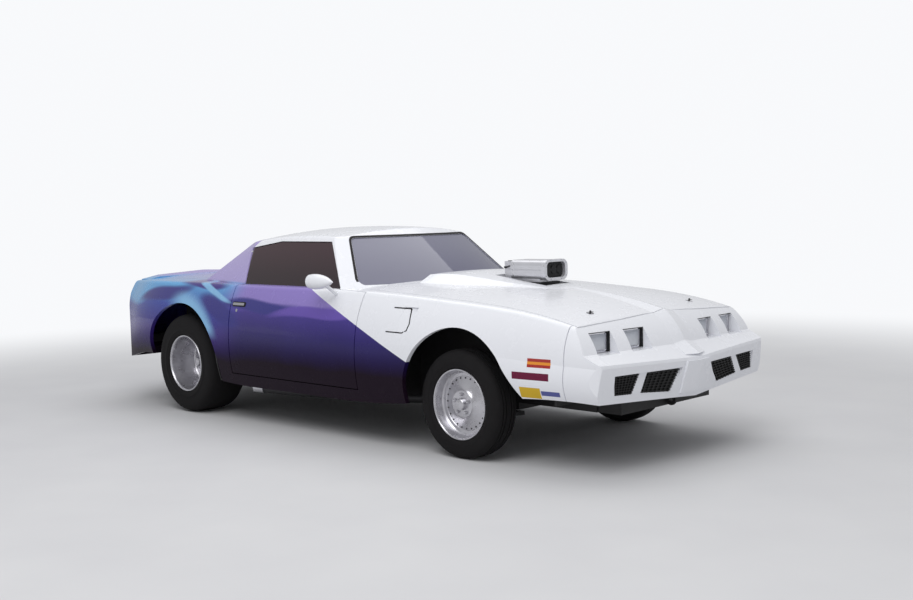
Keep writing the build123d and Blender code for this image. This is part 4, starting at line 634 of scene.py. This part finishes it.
def glazing(name, low_colour, high_colour, alpha, heights):
    """Tinted sheet whose colour changes a little between two heights, with faint smears."""
    tree = Tree(name)
    place = tree.place()
    high = tree.step(tree.split(place)[2], *heights)
    colour = tree.mix(high, linear(low_colour), linear(high_colour))
    smear = tree.noise(place, scale=5.0, detail=5.0, roughness=0.6)
    rough = tree.math("MULTIPLY_ADD", smear, 0.05, 0.02)
    return tree.set(colour=colour, rough=rough, alpha=alpha, gloss=0.6)


def weave(name, colour):
    """Woven fabric."""
    tree = Tree(name)
    place = tree.place()
    wave = tree.nodes.new("ShaderNodeTexWave")
    tree.link(place, wave.inputs["Vector"])
    wave.inputs["Scale"].default_value = 160.0
    wave.inputs["Distortion"].default_value = 1.5
    cloud = tree.noise(place, scale=30.0, detail=4.0)
    tree.bump(wave.outputs["Fac"], strength=0.3, distance=0.001)
    colour = tree.mix(cloud, linear(shaded(colour, 0.6)), linear(shaded(colour, 1.4)))
    return tree.set(colour=colour, rough=0.9, sheen=0.3)


def make_materials():
    return {
        "paint": car_paint("car_paint"),
        "wing_paint": car_paint("wing_paint", stickers=True),
        "underbody": satin_metal("underbody_black", (0.10, 0.095, 0.10), rough=0.6, metal=0.0),
        "smoked": glazing("smoked_sheet", (0.15, 0.09, 0.11), (0.24, 0.155, 0.18), 0.92, (0.95, 1.25)),
        "screen": glazing("screen_glass", (0.42, 0.42, 0.50), (0.49, 0.49, 0.56), 0.94, (0.97, 1.27)),
        "lamp_glass": glazing("lamp_glass", (0.75, 0.78, 0.80), (0.62, 0.64, 0.68), 0.55, (0.66, 0.75)),
        "lens": glazing("lamp_lens", (0.90, 0.91, 0.93), (0.82, 0.84, 0.88), 0.80, (0.66, 0.75)),
        "plate": plastic("plate_white", (0.80, 0.80, 0.78), rough=0.4, grain=300.0),
        "rubber": rubber("trim_rubber", (0.10, 0.09, 0.10), rough=0.6),
        "tail_red": plastic("tail_red", (0.55, 0.05, 0.06), rough=0.25, grain=200.0),
        "black": plastic("trim_black", (0.045, 0.042, 0.048), rough=0.55),
        "cabin": plastic("cabin_black", (0.07, 0.068, 0.075), rough=0.7),
        "cast": satin_metal("cast_metal", (0.30, 0.30, 0.31), rough=0.5, metal=0.7, spots=0.3),
        "alloy": satin_metal("hat_alloy", (0.86, 0.86, 0.88), rough=0.30, metal=0.55, spots=0.08),
        "polished": polished_metal("polished_alloy"),
        "chrome": satin_metal("chrome", (0.80, 0.80, 0.82), rough=0.14, spots=0.05),
        "tyre": rubber("tyre_rubber"),
        "cage": satin_metal("cage_paint", (0.16, 0.16, 0.17), rough=0.45, metal=0.0),
        "seat": weave("seat_fabric", (0.07, 0.07, 0.08)),
    }


def dress_nodes():
    for key, names in NODE_MATERIALS.items():
        for name in names:
            mesh = NODES[name].data
            mesh.materials.clear()
            mesh.materials.append(MATERIALS[key])


# Stage

def new_object(name, data):
    item = bpy.data.objects.new(name, data)
    bpy.context.scene.collection.objects.link(item)
    return item


def make_camera():
    data = bpy.data.cameras.new("camera")
    data.lens = CAMERA_LENS
    data.sensor_width = SENSOR_WIDTH
    data.sensor_fit = "HORIZONTAL"
    camera = new_object("camera", data)
    matrix = Matrix.Translation(CAMERA_PLACE)
    for angle, axis in ((CAMERA_YAW, "Z"), (math.pi / 2 - CAMERA_PITCH, "X"), (CAMERA_ROLL, "Z")):
        matrix = matrix @ Matrix.Rotation(angle, 4, axis)
    camera.matrix_world = matrix
    bpy.context.scene.camera = camera


def make_light(name, place, target, size, power):
    data = bpy.data.lights.new(name, "AREA")
    data.shape = "RECTANGLE"
    data.size, data.size_y = size
    data.energy = power
    lamp = new_object(name, data)
    lamp.location = place
    aim = Vector(target) - Vector(place)
    lamp.rotation_euler = aim.to_track_quat("-Z", "Y").to_euler()


def make_world():
    """A backdrop that looks brighter than the light it gives."""
    world = bpy.data.worlds.new("studio")
    bpy.context.scene.world = world
    world.use_nodes = True
    nodes, links = world.node_tree.nodes, world.node_tree.links
    background = nodes["Background"]
    path = nodes.new("ShaderNodeLightPath")
    seen = nodes.new("ShaderNodeMath")
    seen.operation = "MAXIMUM"
    links.new(path.outputs["Is Camera Ray"], seen.inputs[0])
    links.new(path.outputs["Is Transmission Ray"], seen.inputs[1])
    strength = nodes.new("ShaderNodeMapRange")
    links.new(seen.outputs[0], strength.inputs["Value"])
    strength.inputs["To Min"].default_value = BACKDROP_LIGHT
    background.inputs["Color"].default_value = BACKDROP
    links.new(strength.outputs["Result"], background.inputs["Strength"])


def make_floor():
    """A pale floor that fades into the backdrop."""
    mesh = bpy.data.meshes.new("floor")
    corners = rectangle((-FLOOR_REACH, -FLOOR_REACH), (FLOOR_REACH, FLOOR_REACH))
    mesh.from_pydata([(x, y, 0.0) for x, y in corners], [], [range(len(corners))])
    floor = new_object("floor", mesh)
    tree = Tree("floor_paint")
    place = tree.place()
    cloud = tree.noise(place, scale=1.5, detail=5.0)
    colour = tree.mix(cloud, *[linear(grey) for grey in FLOOR_GREYS])
    faded = tree.step(tree.length(*tree.split(place)[:2]), *FLOOR_FADE)
    colour = tree.mix(faded, colour, (0.0, 0.0, 0.0, 1.0))
    mesh.materials.append(tree.set(colour=colour, rough=0.8, gloss=0.0, glow=faded, glow_colour=BACKDROP))


# Mesh helpers

def new_piece(name, bm, material, body="chassis", angle=40.0):
    """A mesh piece that rides on a body; edges sharper than the angle in degrees stay sharp."""
    mesh = bpy.data.meshes.new(name)
    bmesh.ops.recalc_face_normals(bm, faces=bm.faces)
    bm.to_mesh(mesh)
    bm.free()
    piece = new_object(name, mesh)
    mesh.materials.append(MATERIALS[material])
    if angle:
        mesh.shade_smooth()
        mesh.set_sharp_from_angle(angle=math.radians(angle))
    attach(piece, body)
    return piece


def skin(*names):
    """A tree for ray casts onto the faces of some CAD nodes."""
    points, faces = [], []
    for name in names:
        node = NODES[name]
        start = len(points)
        points += [node.matrix_world @ vertex.co for vertex in node.data.vertices]
        faces += [[start + index for index in face.vertices] for face in node.data.polygons]
    return BVHTree.FromPolygons(points, faces)


def meet(tree, start, way):
    """Where a ray meets a surface, and the surface's way back toward the ray; None where it misses."""
    spot, normal = tree.ray_cast(start, way)[:2]
    if spot is None:
        return None
    return spot, -normal if normal.dot(way) > 0 else normal


def rectangle(low, high):
    """A rectangle's corners, counter-clockwise."""
    return (low[0], low[1]), (high[0], low[1]), (high[0], high[1]), (low[0], high[1])


def circle(centre, radius, count, across, up):
    """Places round a circle in the plane of two directions."""
    turns = [2 * math.pi * index / count for index in range(count)]
    return [centre + across * radius * math.cos(turn) + up * radius * math.sin(turn) for turn in turns]


def outline(corners, radii, spacing=0.03, arc_steps=4):
    """Places round a convex outline with rounded corners, counter-clockwise: spot and way outward."""
    corners = [Vector(corner) for corner in corners]
    if not isinstance(radii, tuple):
        radii = [radii] * len(corners)
    ways = []
    for start, end in zip(corners, corners[1:] + corners[:1]):
        along = (end - start).normalized()
        ways.append(Vector((along.y, -along.x)))
    centres = []
    for corner, radius, before, way in zip(corners, radii, ways[-1:] + ways, ways):
        centres.append(corner - (before + way) * radius / (1 + before.dot(way)))
    places = []
    for index, way in enumerate(ways):
        before = ways[index - 1]
        turn = -before.angle_signed(way)
        for step in range(arc_steps + 1):
            out = Matrix.Rotation(turn * step / arc_steps, 2) @ before
            places.append((centres[index] + out * radii[index], out))
        after = index + 1 - len(corners)
        first = centres[index] + way * radii[index]
        run = centres[after] + way * radii[after] - first
        parts = max(1, round(run.length / spacing))
        for step in range(1, parts):
            places.append((first + run * step / parts, way))
    return places


def edge_rows(places, edges, x):
    """For each place on an outline across the car, where the rays of a strip's two edges start."""
    return [[Vector((x, *(spot + way * out))) for out in edges] for spot, way in places]


def loft(bm, rings, ends="capped"):
    """Faces between rings of places; the first and last ring are capped, joined or left open."""
    rings = [[bm.verts.new(place) for place in ring] for ring in rings]
    following = rings[1:] + rings[:1] if ends == "joined" else rings[1:]
    for first, second in zip(rings, following):
        for index in range(len(first)):
            bm.faces.new((first[index - 1], first[index], second[index], second[index - 1]))
    if ends == "capped":
        bm.faces.new(rings[0])
        bm.faces.new(reversed(rings[-1]))
    return rings


def strip(bm, tree, rows, way, lift, ends="capped"):
    """A raised strip laid on a surface; rows hold the starts of two rays, for its two edges."""
    rings = []
    for row in rows:
        met = [meet(tree, start, way) for start in row]
        if all(met):
            (first, first_way), (second, second_way) = met
            rings.append((first - first_way * lift, first + first_way * lift,
                          second + second_way * lift, second - second_way * lift))
    loft(bm, rings, ends)


def patch(bm, tree, starts, middle, way, lift):
    """A raised patch laid on a surface, its edge and middle found by rays."""
    met = [meet(tree, start, way) for start in starts]
    top = loft(bm, [[spot + normal * out for spot, normal in met] for out in (-lift, lift)], "open")[1]
    spot, normal = meet(tree, middle, way)
    centre = bm.verts.new(spot + normal * lift)
    for index in range(len(top)):
        bm.faces.new((top[index - 1], top[index], centre))


def box(bm, low, high):
    """A block between two corners."""
    low, high = Vector(low), Vector(high)
    for vertex in bmesh.ops.create_cube(bm, size=1.0)["verts"]:
        vertex.co = (low + high) / 2 + vertex.co * (high - low)


def tube(bm, path, radius, steps):
    """A round bar along a path, its ends closed, with one radius or one for each place."""
    sizes = radius if isinstance(radius, list) else [radius] * len(path)
    before = (path[1] - path[0]).normalized()
    across = before.orthogonal().normalized()
    rings = []
    for index, (spot, size) in enumerate(zip(path, sizes)):
        run = path[min(index + 1, len(path) - 1)] - path[max(index - 1, 0)]
        ahead = run.normalized() if run.length > 0 else before
        if ahead.dot(before) < 0:
            ahead = -ahead
        across = (across - ahead * across.dot(ahead)).normalized()
        rings.append(circle(spot, size, steps, across, ahead.cross(across)))
        before = ahead
    loft(bm, rings)


def turned(bm, start, way, section, steps):
    """A round solid from a section of (distance along the way, radius)."""
    tube(bm, [start + way * along for along, radius in section], [radius for along, radius in section], steps)


def face_point(side, along, height, depth):
    """A place behind the nose's swept face on one side of the car."""
    slant = math.hypot(1.0, FACE_SWEEP)
    x = FACE_X - (FACE_SWEEP * along + depth) / slant
    return Vector((x, side * (along - FACE_SWEEP * depth) / slant, height))


# Wheels

def lathe(bm, profile, centre, side):
    """Turns a closed profile of (radius, distance outward along the axle) round a wheel's axle."""
    rings = []
    for radius, out in profile:
        middle = Vector((centre[0], side * out, centre[1]))
        rings.append(circle(middle, radius, WHEEL_STEPS, AHEAD, UP))
    loft(bm, rings, "joined")
    bmesh.ops.remove_doubles(bm, verts=bm.verts, dist=SAME_PLACE)


def tyre_points(faces, side_points):
    outer_wall = faces["face"] + TYRE_PROUD
    inner_wall = faces["inside"] - TYRE_PROUD
    outer = [(radius, outer_wall - draw) for radius, draw in TYRE_BEAD + side_points]
    inner = [(radius, inner_wall + draw) for radius, draw in TYRE_BEAD + side_points]
    return outer + inner[::-1]


def heads(bm, centre, side, faces, face, out, ring, count, radius, height, corners):
    """Round or six-sided heads in a ring round a wheel's axle."""
    middle = Vector((centre[0], side * (faces[face] + out), centre[1]))
    section = ((0.0, radius), (height * HEAD_SHOULDER, radius), (height, radius * HEAD_TOP))
    for spot in circle(middle, ring, count, UP, -AHEAD):
        turned(bm, spot, LEFT * side, section, corners)


def make_wheel(name, side, axle_x, radius, faces, outside, side_points, riveted):
    body = f"wheel_{name}"
    centre = (axle_x, radius)
    bm = bmesh.new()
    groups = RIM_LIP + outside + RIM_BACK
    lathe(bm, [(ring, faces[face] + out) for face, places in groups for ring, out in places], centre, side)
    heads(bm, centre, side, faces, *LUG_NUTS)
    rim = new_piece(f"{name}_rim_dressed", bm, "polished", body, angle=30.0)
    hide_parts(f"rim_{name}")
    if riveted:
        bm = bmesh.new()
        heads(bm, centre, side, faces, *RIVETS)
        new_piece(f"{name}_rivets", bm, "cast", body)
    bm = bmesh.new()
    lathe(bm, tyre_points(faces, side_points), centre, side)
    tyre = new_piece(f"{name}_tyre_dressed", bm, "tyre", body, angle=50.0)
    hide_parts(f"tyre_{name}")


def make_wheels():
    for side_name, side in SIDES:
        for name, *sizes in WHEELS:
            make_wheel(f"{name}_{side_name}", side, *sizes)


# Nose

def make_lamps():
    """Bezels and fluted lenses of the four lamps, and dark strips of painted shadow above and beside them."""
    bezels, lenses, shadow_strips = bmesh.new(), bmesh.new(), bmesh.new()
    low, high = LAMP_Z
    for name, side in SIDES:
        for near, far in LAMP_YS:
            places = outline(rectangle((near, low), (far, high)), LAMP_ROUND)
            rings = []
            for out, ahead in BEZEL_SECTION:
                spots = [spot + way * out for spot, way in places]
                rings.append([face_point(side, *spot, LAMP_DEPTH - ahead) for spot in spots])
            loft(bezels, rings, "open")
            add_lens(lenses, side, near, far)
            # Dark strips that paint the shadow in the gap above and inside each lamp
            above = rectangle((near, high + SHADOW_STRIP_GAP), (far, high + SHADOW_STRIP_EDGE))
            beside = rectangle((near - SHADOW_STRIP_EDGE, low), (near - SHADOW_STRIP_GAP, high + SHADOW_STRIP_EDGE))
            for corners in (above, beside):
                face_prism(shadow_strips, side, corners, SHADOW_STRIP_DEPTHS)
    new_piece("lamp_bezels", bezels, "chrome")
    new_piece("lamp_lenses", lenses, "lens", angle=60.0)
    new_piece("lamp_shadow_strips", shadow_strips, "black", angle=None)


def add_lens(bm, side, near, far):
    """A slightly domed lens with upright flutes."""
    low = Vector((near + LENS_INSET, LAMP_Z[0] + LENS_INSET))
    span = Vector((far - LENS_INSET, LAMP_Z[1] - LENS_INSET)) - low
    grid = []
    for row in range(LENS_ROWS + 1):
        line = []
        for column in range(LENS_COLUMNS + 1):
            u, v = column / LENS_COLUMNS, row / LENS_ROWS
            dome = LENS_DOME * (1 - (2 * u - 1) ** 4) * (1 - (2 * v - 1) ** 4)
            ridge = FLUTE_HEIGHT * math.cos(2 * math.pi * column / FLUTE_COLUMNS)
            place = low.x + span.x * u, low.y + span.y * v, LAMP_DEPTH - LENS_PROUD - dome - ridge
            line.append(bm.verts.new(face_point(side, *place)))
        grid.append(line)
    for first, second in zip(grid, grid[1:]):
        for column in range(LENS_COLUMNS):
            bm.faces.new((first[column], first[column + 1], second[column + 1], second[column]))


def face_prism(bm, side, corners, depths):
    """A solid between two depths behind the nose's face."""
    loft(bm, [[face_point(side, *corner, depth) for corner in corners] for depth in depths])


def bar(bm, side, start, end, depths):
    """A straight bar between two places on the nose's face."""
    across = (end - start).orthogonal().normalized() * SLAT_HALF
    face_prism(bm, side, (start - across, end - across, end + across, start + across), depths)


def make_grilles():
    """Slats and uprights in the four grille openings."""
    bm = bmesh.new()
    for name, side in SIDES:
        for corners in GRILLE_OPENINGS:
            top_near, top_far, low_near, low_far = [Vector(corner) for corner in corners]
            for index in range(GRILLE_SLATS):
                share = (index + 0.5) / GRILLE_SLATS
                bar(bm, side, low_near.lerp(top_near, share), low_far.lerp(top_far, share), SLAT_DEPTHS)
            for index in range(GRILLE_UPRIGHTS):
                share = (index + 0.5) / GRILLE_UPRIGHTS
                bar(bm, side, low_near.lerp(low_far, share), top_near.lerp(top_far, share), UPRIGHT_DEPTHS)
    new_piece("grille_slats", bm, "black", angle=None)


# Bonnet and hat

def make_hat_parts():
    """Throttle plates on a sheet in the hat's mouth, its screws and the linkage behind the hat."""
    plates, screws, linkage = bmesh.new(), bmesh.new(), bmesh.new()
    depth, thick, half_width, half_height = THROTTLE_SHEET
    sheet = HAT_FRONT - depth
    box(plates, (sheet - thick, -half_width, HAT_MID_Z - half_height),
        (sheet, half_width, HAT_MID_Z + half_height))
    for y in THROTTLE_YS:
        turned(plates, Vector((sheet, y, HAT_MID_Z)), AHEAD, THROTTLE_SECTION, THROTTLE_STEPS)
    for across, rise in HAT_SCREWS:
        for name, side in SIDES:
            spot = Vector((HAT_FRONT, side * across, HAT_MID_Z + rise))
            turned(screws, spot, AHEAD, SCREW_SECTION, SCREW_STEPS)
    for name, side in SIDES:
        rod = [Vector((LINKAGE_X + x, side * LINKAGE_ROD_Y, z)) for x, z in LINKAGE_ROD]
        tube(linkage, rod, LINKAGE_ROD_RADIUS, SCREW_STEPS)
    for back, front, half, low, high in LINKAGE_BARS:
        box(linkage, (LINKAGE_X + back, -half, low), (LINKAGE_X + front, half, high))
    new_piece("throttle_plates", plates, "cabin")
    new_piece("hat_screws", screws, "chrome")
    new_piece("throttle_linkage", linkage, "cast")


def make_bonnet_pins():
    """Two locking pins with their plates and rings near the bonnet's front edge."""
    tree = skin("bonnet")
    plates, pins = bmesh.new(), bmesh.new()
    height, radius, offset, wire = PIN_RING
    for ahead, across in BONNET_PINS:
        start = Vector((FRONT_AXLE_X + ahead, across, RAY_START))
        starts = circle(start, PIN_PLATE_RADIUS, SHAFT_STEPS, AHEAD, LEFT)
        patch(plates, tree, starts, start, -UP, PIN_PLATE_LIFT)
        spot, normal = meet(tree, start, -UP)
        turned(pins, spot, normal, PIN_SECTION, PIN_STEPS)
        ring = circle(spot + normal * height + LEFT * offset, radius, PIN_STEPS, AHEAD, LEFT)
        tube(pins, ring + ring[:1], wire, WIRE_STEPS)
    new_piece("pin_plates", plates, "chrome", "bonnet")
    new_piece("bonnet_pins", pins, "cast", "bonnet")


# Trim

def make_window_trim():
    """Dark rubber strips round the windscreen and the backlight, open at the foot."""
    tree = skin("roof_panel")
    cowl_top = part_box("cowl_panel")[1].z
    for name, corners, way in WINDOW_RUBBERS:
        bm = bmesh.new()
        rows = edge_rows(outline(corners, WINDOW_ROUNDS, STRIP_SPACING), RUBBER_EDGES, -RAY_START * way)
        upper = [row for row in rows if row[0].z > cowl_top]
        start = max(range(len(upper)), key=lambda i: abs(upper[i][0].y - upper[i - 1][0].y))
        strip(bm, tree, upper[start:] + upper[:start], AHEAD * way, RUBBER_LIFT)
        new_piece(name, bm, "rubber")


def make_vent_shadows():
    """Dark lines of painted shadow round the recessed air vents in both wings, open toward the door."""
    spots = [VENT_SHADOW_LINES[0]]
    for start, end in zip(VENT_SHADOW_LINES, VENT_SHADOW_LINES[1:]):
        for step in range(1, VENT_SHADOW_STEPS + 1):
            spots.append([a + (b - a) * step / VENT_SHADOW_STEPS for a, b in zip(start, end)])
    for name, side in SIDES:
        bm = bmesh.new()
        rows = []
        for spot in spots:
            rows.append([Vector((FRONT_AXLE_X + x, RAY_START * side, z)) for x, z in (spot[:2], spot[2:])])
        # A dark strip that paints the shade along the vent recess's edge
        strip(bm, skin(f"wing_{name}"), rows, LEFT * -side, VENT_SHADOW_LIFT)
        new_piece(f"vent_shadow_lines_{name}", bm, "rubber")


def make_door_parts():
    """Handles, locks and mirror glass."""
    x, z = HANDLE_PLACE
    for name, side in SIDES:
        tree = skin(f"door_{name}")
        middle = Vector((x, RAY_START * side, z))
        base, handle = bmesh.new(), bmesh.new()
        for bm, (half_length, half_height, radius, lift) in ((base, HANDLE_BASE), (handle, HANDLE_GRIP)):
            corners = rectangle((x - half_length, z - half_height), (x + half_length, z + half_height))
            starts = [Vector((spot.x, RAY_START * side, spot.y)) for spot, way in outline(corners, radius)]
            patch(bm, tree, starts, middle, LEFT * -side, lift)
        lock = middle + LOCK_OFFSET
        patch(handle, tree, circle(lock, LOCK_RADIUS, PIPE_STEPS, AHEAD, UP), lock, LEFT * -side, LOCK_LIFT)
        new_piece(f"handle_base_{name}", base, "rubber", f"door_{name}")
        new_piece(f"door_handle_{name}", handle, "chrome", f"door_{name}")
        make_mirror_glass(name, side)


def make_mirror_glass(name, side):
    """A round glass in the rear end of a mirror's shell."""
    low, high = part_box(f"mirror_{name}")
    outermost = max(abs(low.y), abs(high.y))
    centre = Vector((low.x, side * (outermost - MIRROR_RADIUS), high.z - MIRROR_RADIUS))
    bm = bmesh.new()
    turned(bm, centre, AHEAD, MIRROR_GLASS, MIRROR_STEPS)
    new_piece(f"mirror_glass_{name}", bm, "chrome", f"door_{name}")


def make_tail_lamps():
    """Frames and ribs over the tail lamps."""
    tree = skin("tail_panel", "tail_lamps")
    frames = bmesh.new()
    low, high = TAIL_LAMP_Z
    for name, side in SIDES:
        near, far = sorted(side * y for y in TAIL_LAMP_YS)
        corners = rectangle((near, low), (far, high))
        places = outline(corners, TAIL_FRAME_ROUND, STRIP_SPACING, TAIL_FRAME_ARC_STEPS)
        strip(frames, tree, edge_rows(places, TAIL_FRAME_EDGES, -RAY_START), AHEAD, TAIL_FRAME_LIFT, "joined")
        for rib in range(1, TAIL_RIBS):
            height = low + (high - low) * rib / TAIL_RIBS
            rows = []
            for step in range(RIB_STEPS + 1):
                y = near + RIB_INSET + (far - near - 2 * RIB_INSET) * step / RIB_STEPS
                rows.append([Vector((-RAY_START, y, height + out)) for out in RIB_EDGES])
            strip(frames, tree, rows, AHEAD, RIB_LIFT)
    new_piece("tail_lamp_frames", frames, "black")


def make_rear_plate():
    """A blank plate on a flat holder in the middle of the tail."""
    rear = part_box("tail_panel")[0].x
    corners = rectangle(PLATE_LOW, PLATE_HIGH)
    for name, slot, material, wider, depths in PLATE_LAYERS:
        bm = bmesh.new()
        around = [spot + way * wider for spot, way in outline(corners, PLATE_ROUND)]
        loft(bm, [[Vector((rear + depth, *spot)) for spot in around] for depth in depths])
        new_piece(name, bm, material)


# Underside

def make_driveline():
    """Gearbox and driveshaft."""
    bm = bmesh.new()
    turned(bm, Vector((FRONT_AXLE_X, 0.0, GEARBOX_Z)), AHEAD, GEARBOX, SHAFT_STEPS)
    start = Vector((FRONT_AXLE_X + GEARBOX[-1][0], 0.0, GEARBOX_Z))
    end = Vector((REAR_AXLE_X + SHAFT_END_AHEAD, 0.0, REAR_RADIUS - SHAFT_END_DROP))
    tube(bm, [start, end], SHAFT_RADIUS, SHAFT_STEPS)
    new_piece("gearbox_and_shaft", bm, "cast", angle=30.0)


def make_exhaust():
    """Two exhaust pipes that end ahead of the rear wheels."""
    pipes, tips = bmesh.new(), bmesh.new()
    for name, side in SIDES:
        places = [Vector((FRONT_AXLE_X + x, side * y, z)) for x, y, z in smooth_path(EXHAUST, EXHAUST_PARTS)]
        tube(pipes, places, EXHAUST_RADIUS, PIPE_STEPS)
        way = AHEAD * TIP_WAY[0] + LEFT * side * TIP_WAY[1]
        turned(tips, places[-1], way, TIP_SECTION, SHAFT_STEPS)
    new_piece("exhaust_pipes", pipes, "cast", angle=60.0)
    new_piece("exhaust_tips", tips, "chrome", angle=30.0)


def smooth_path(points, parts):
    """A rounded route through some places."""
    route = []
    for index in range(len(points) - 1):
        before = Vector(points[max(index - 1, 0)])
        start, end = Vector(points[index]), Vector(points[index + 1])
        after = Vector(points[min(index + 2, len(points) - 1)])
        for part in range(parts):
            t = part / parts
            route.append(0.5 * (2 * start + (end - before) * t
                                + (2 * before - 5 * start + 4 * end - after) * t * t
                                + (3 * start - before - 3 * end + after) * t * t * t))
    route.append(Vector(points[-1]))
    return route


bpy.context.scene.view_settings.view_transform = "Standard"
MATERIALS = make_materials()
dress_nodes()
make_camera()
make_world()
for light in LIGHTS:
    make_light(*light)
make_floor()
make_wheels()
make_lamps()
make_grilles()
make_hat_parts()
make_bonnet_pins()
make_window_trim()
make_vent_shadows()
make_door_parts()
make_tail_lamps()
make_rear_plate()
make_driveline()
make_exhaust()
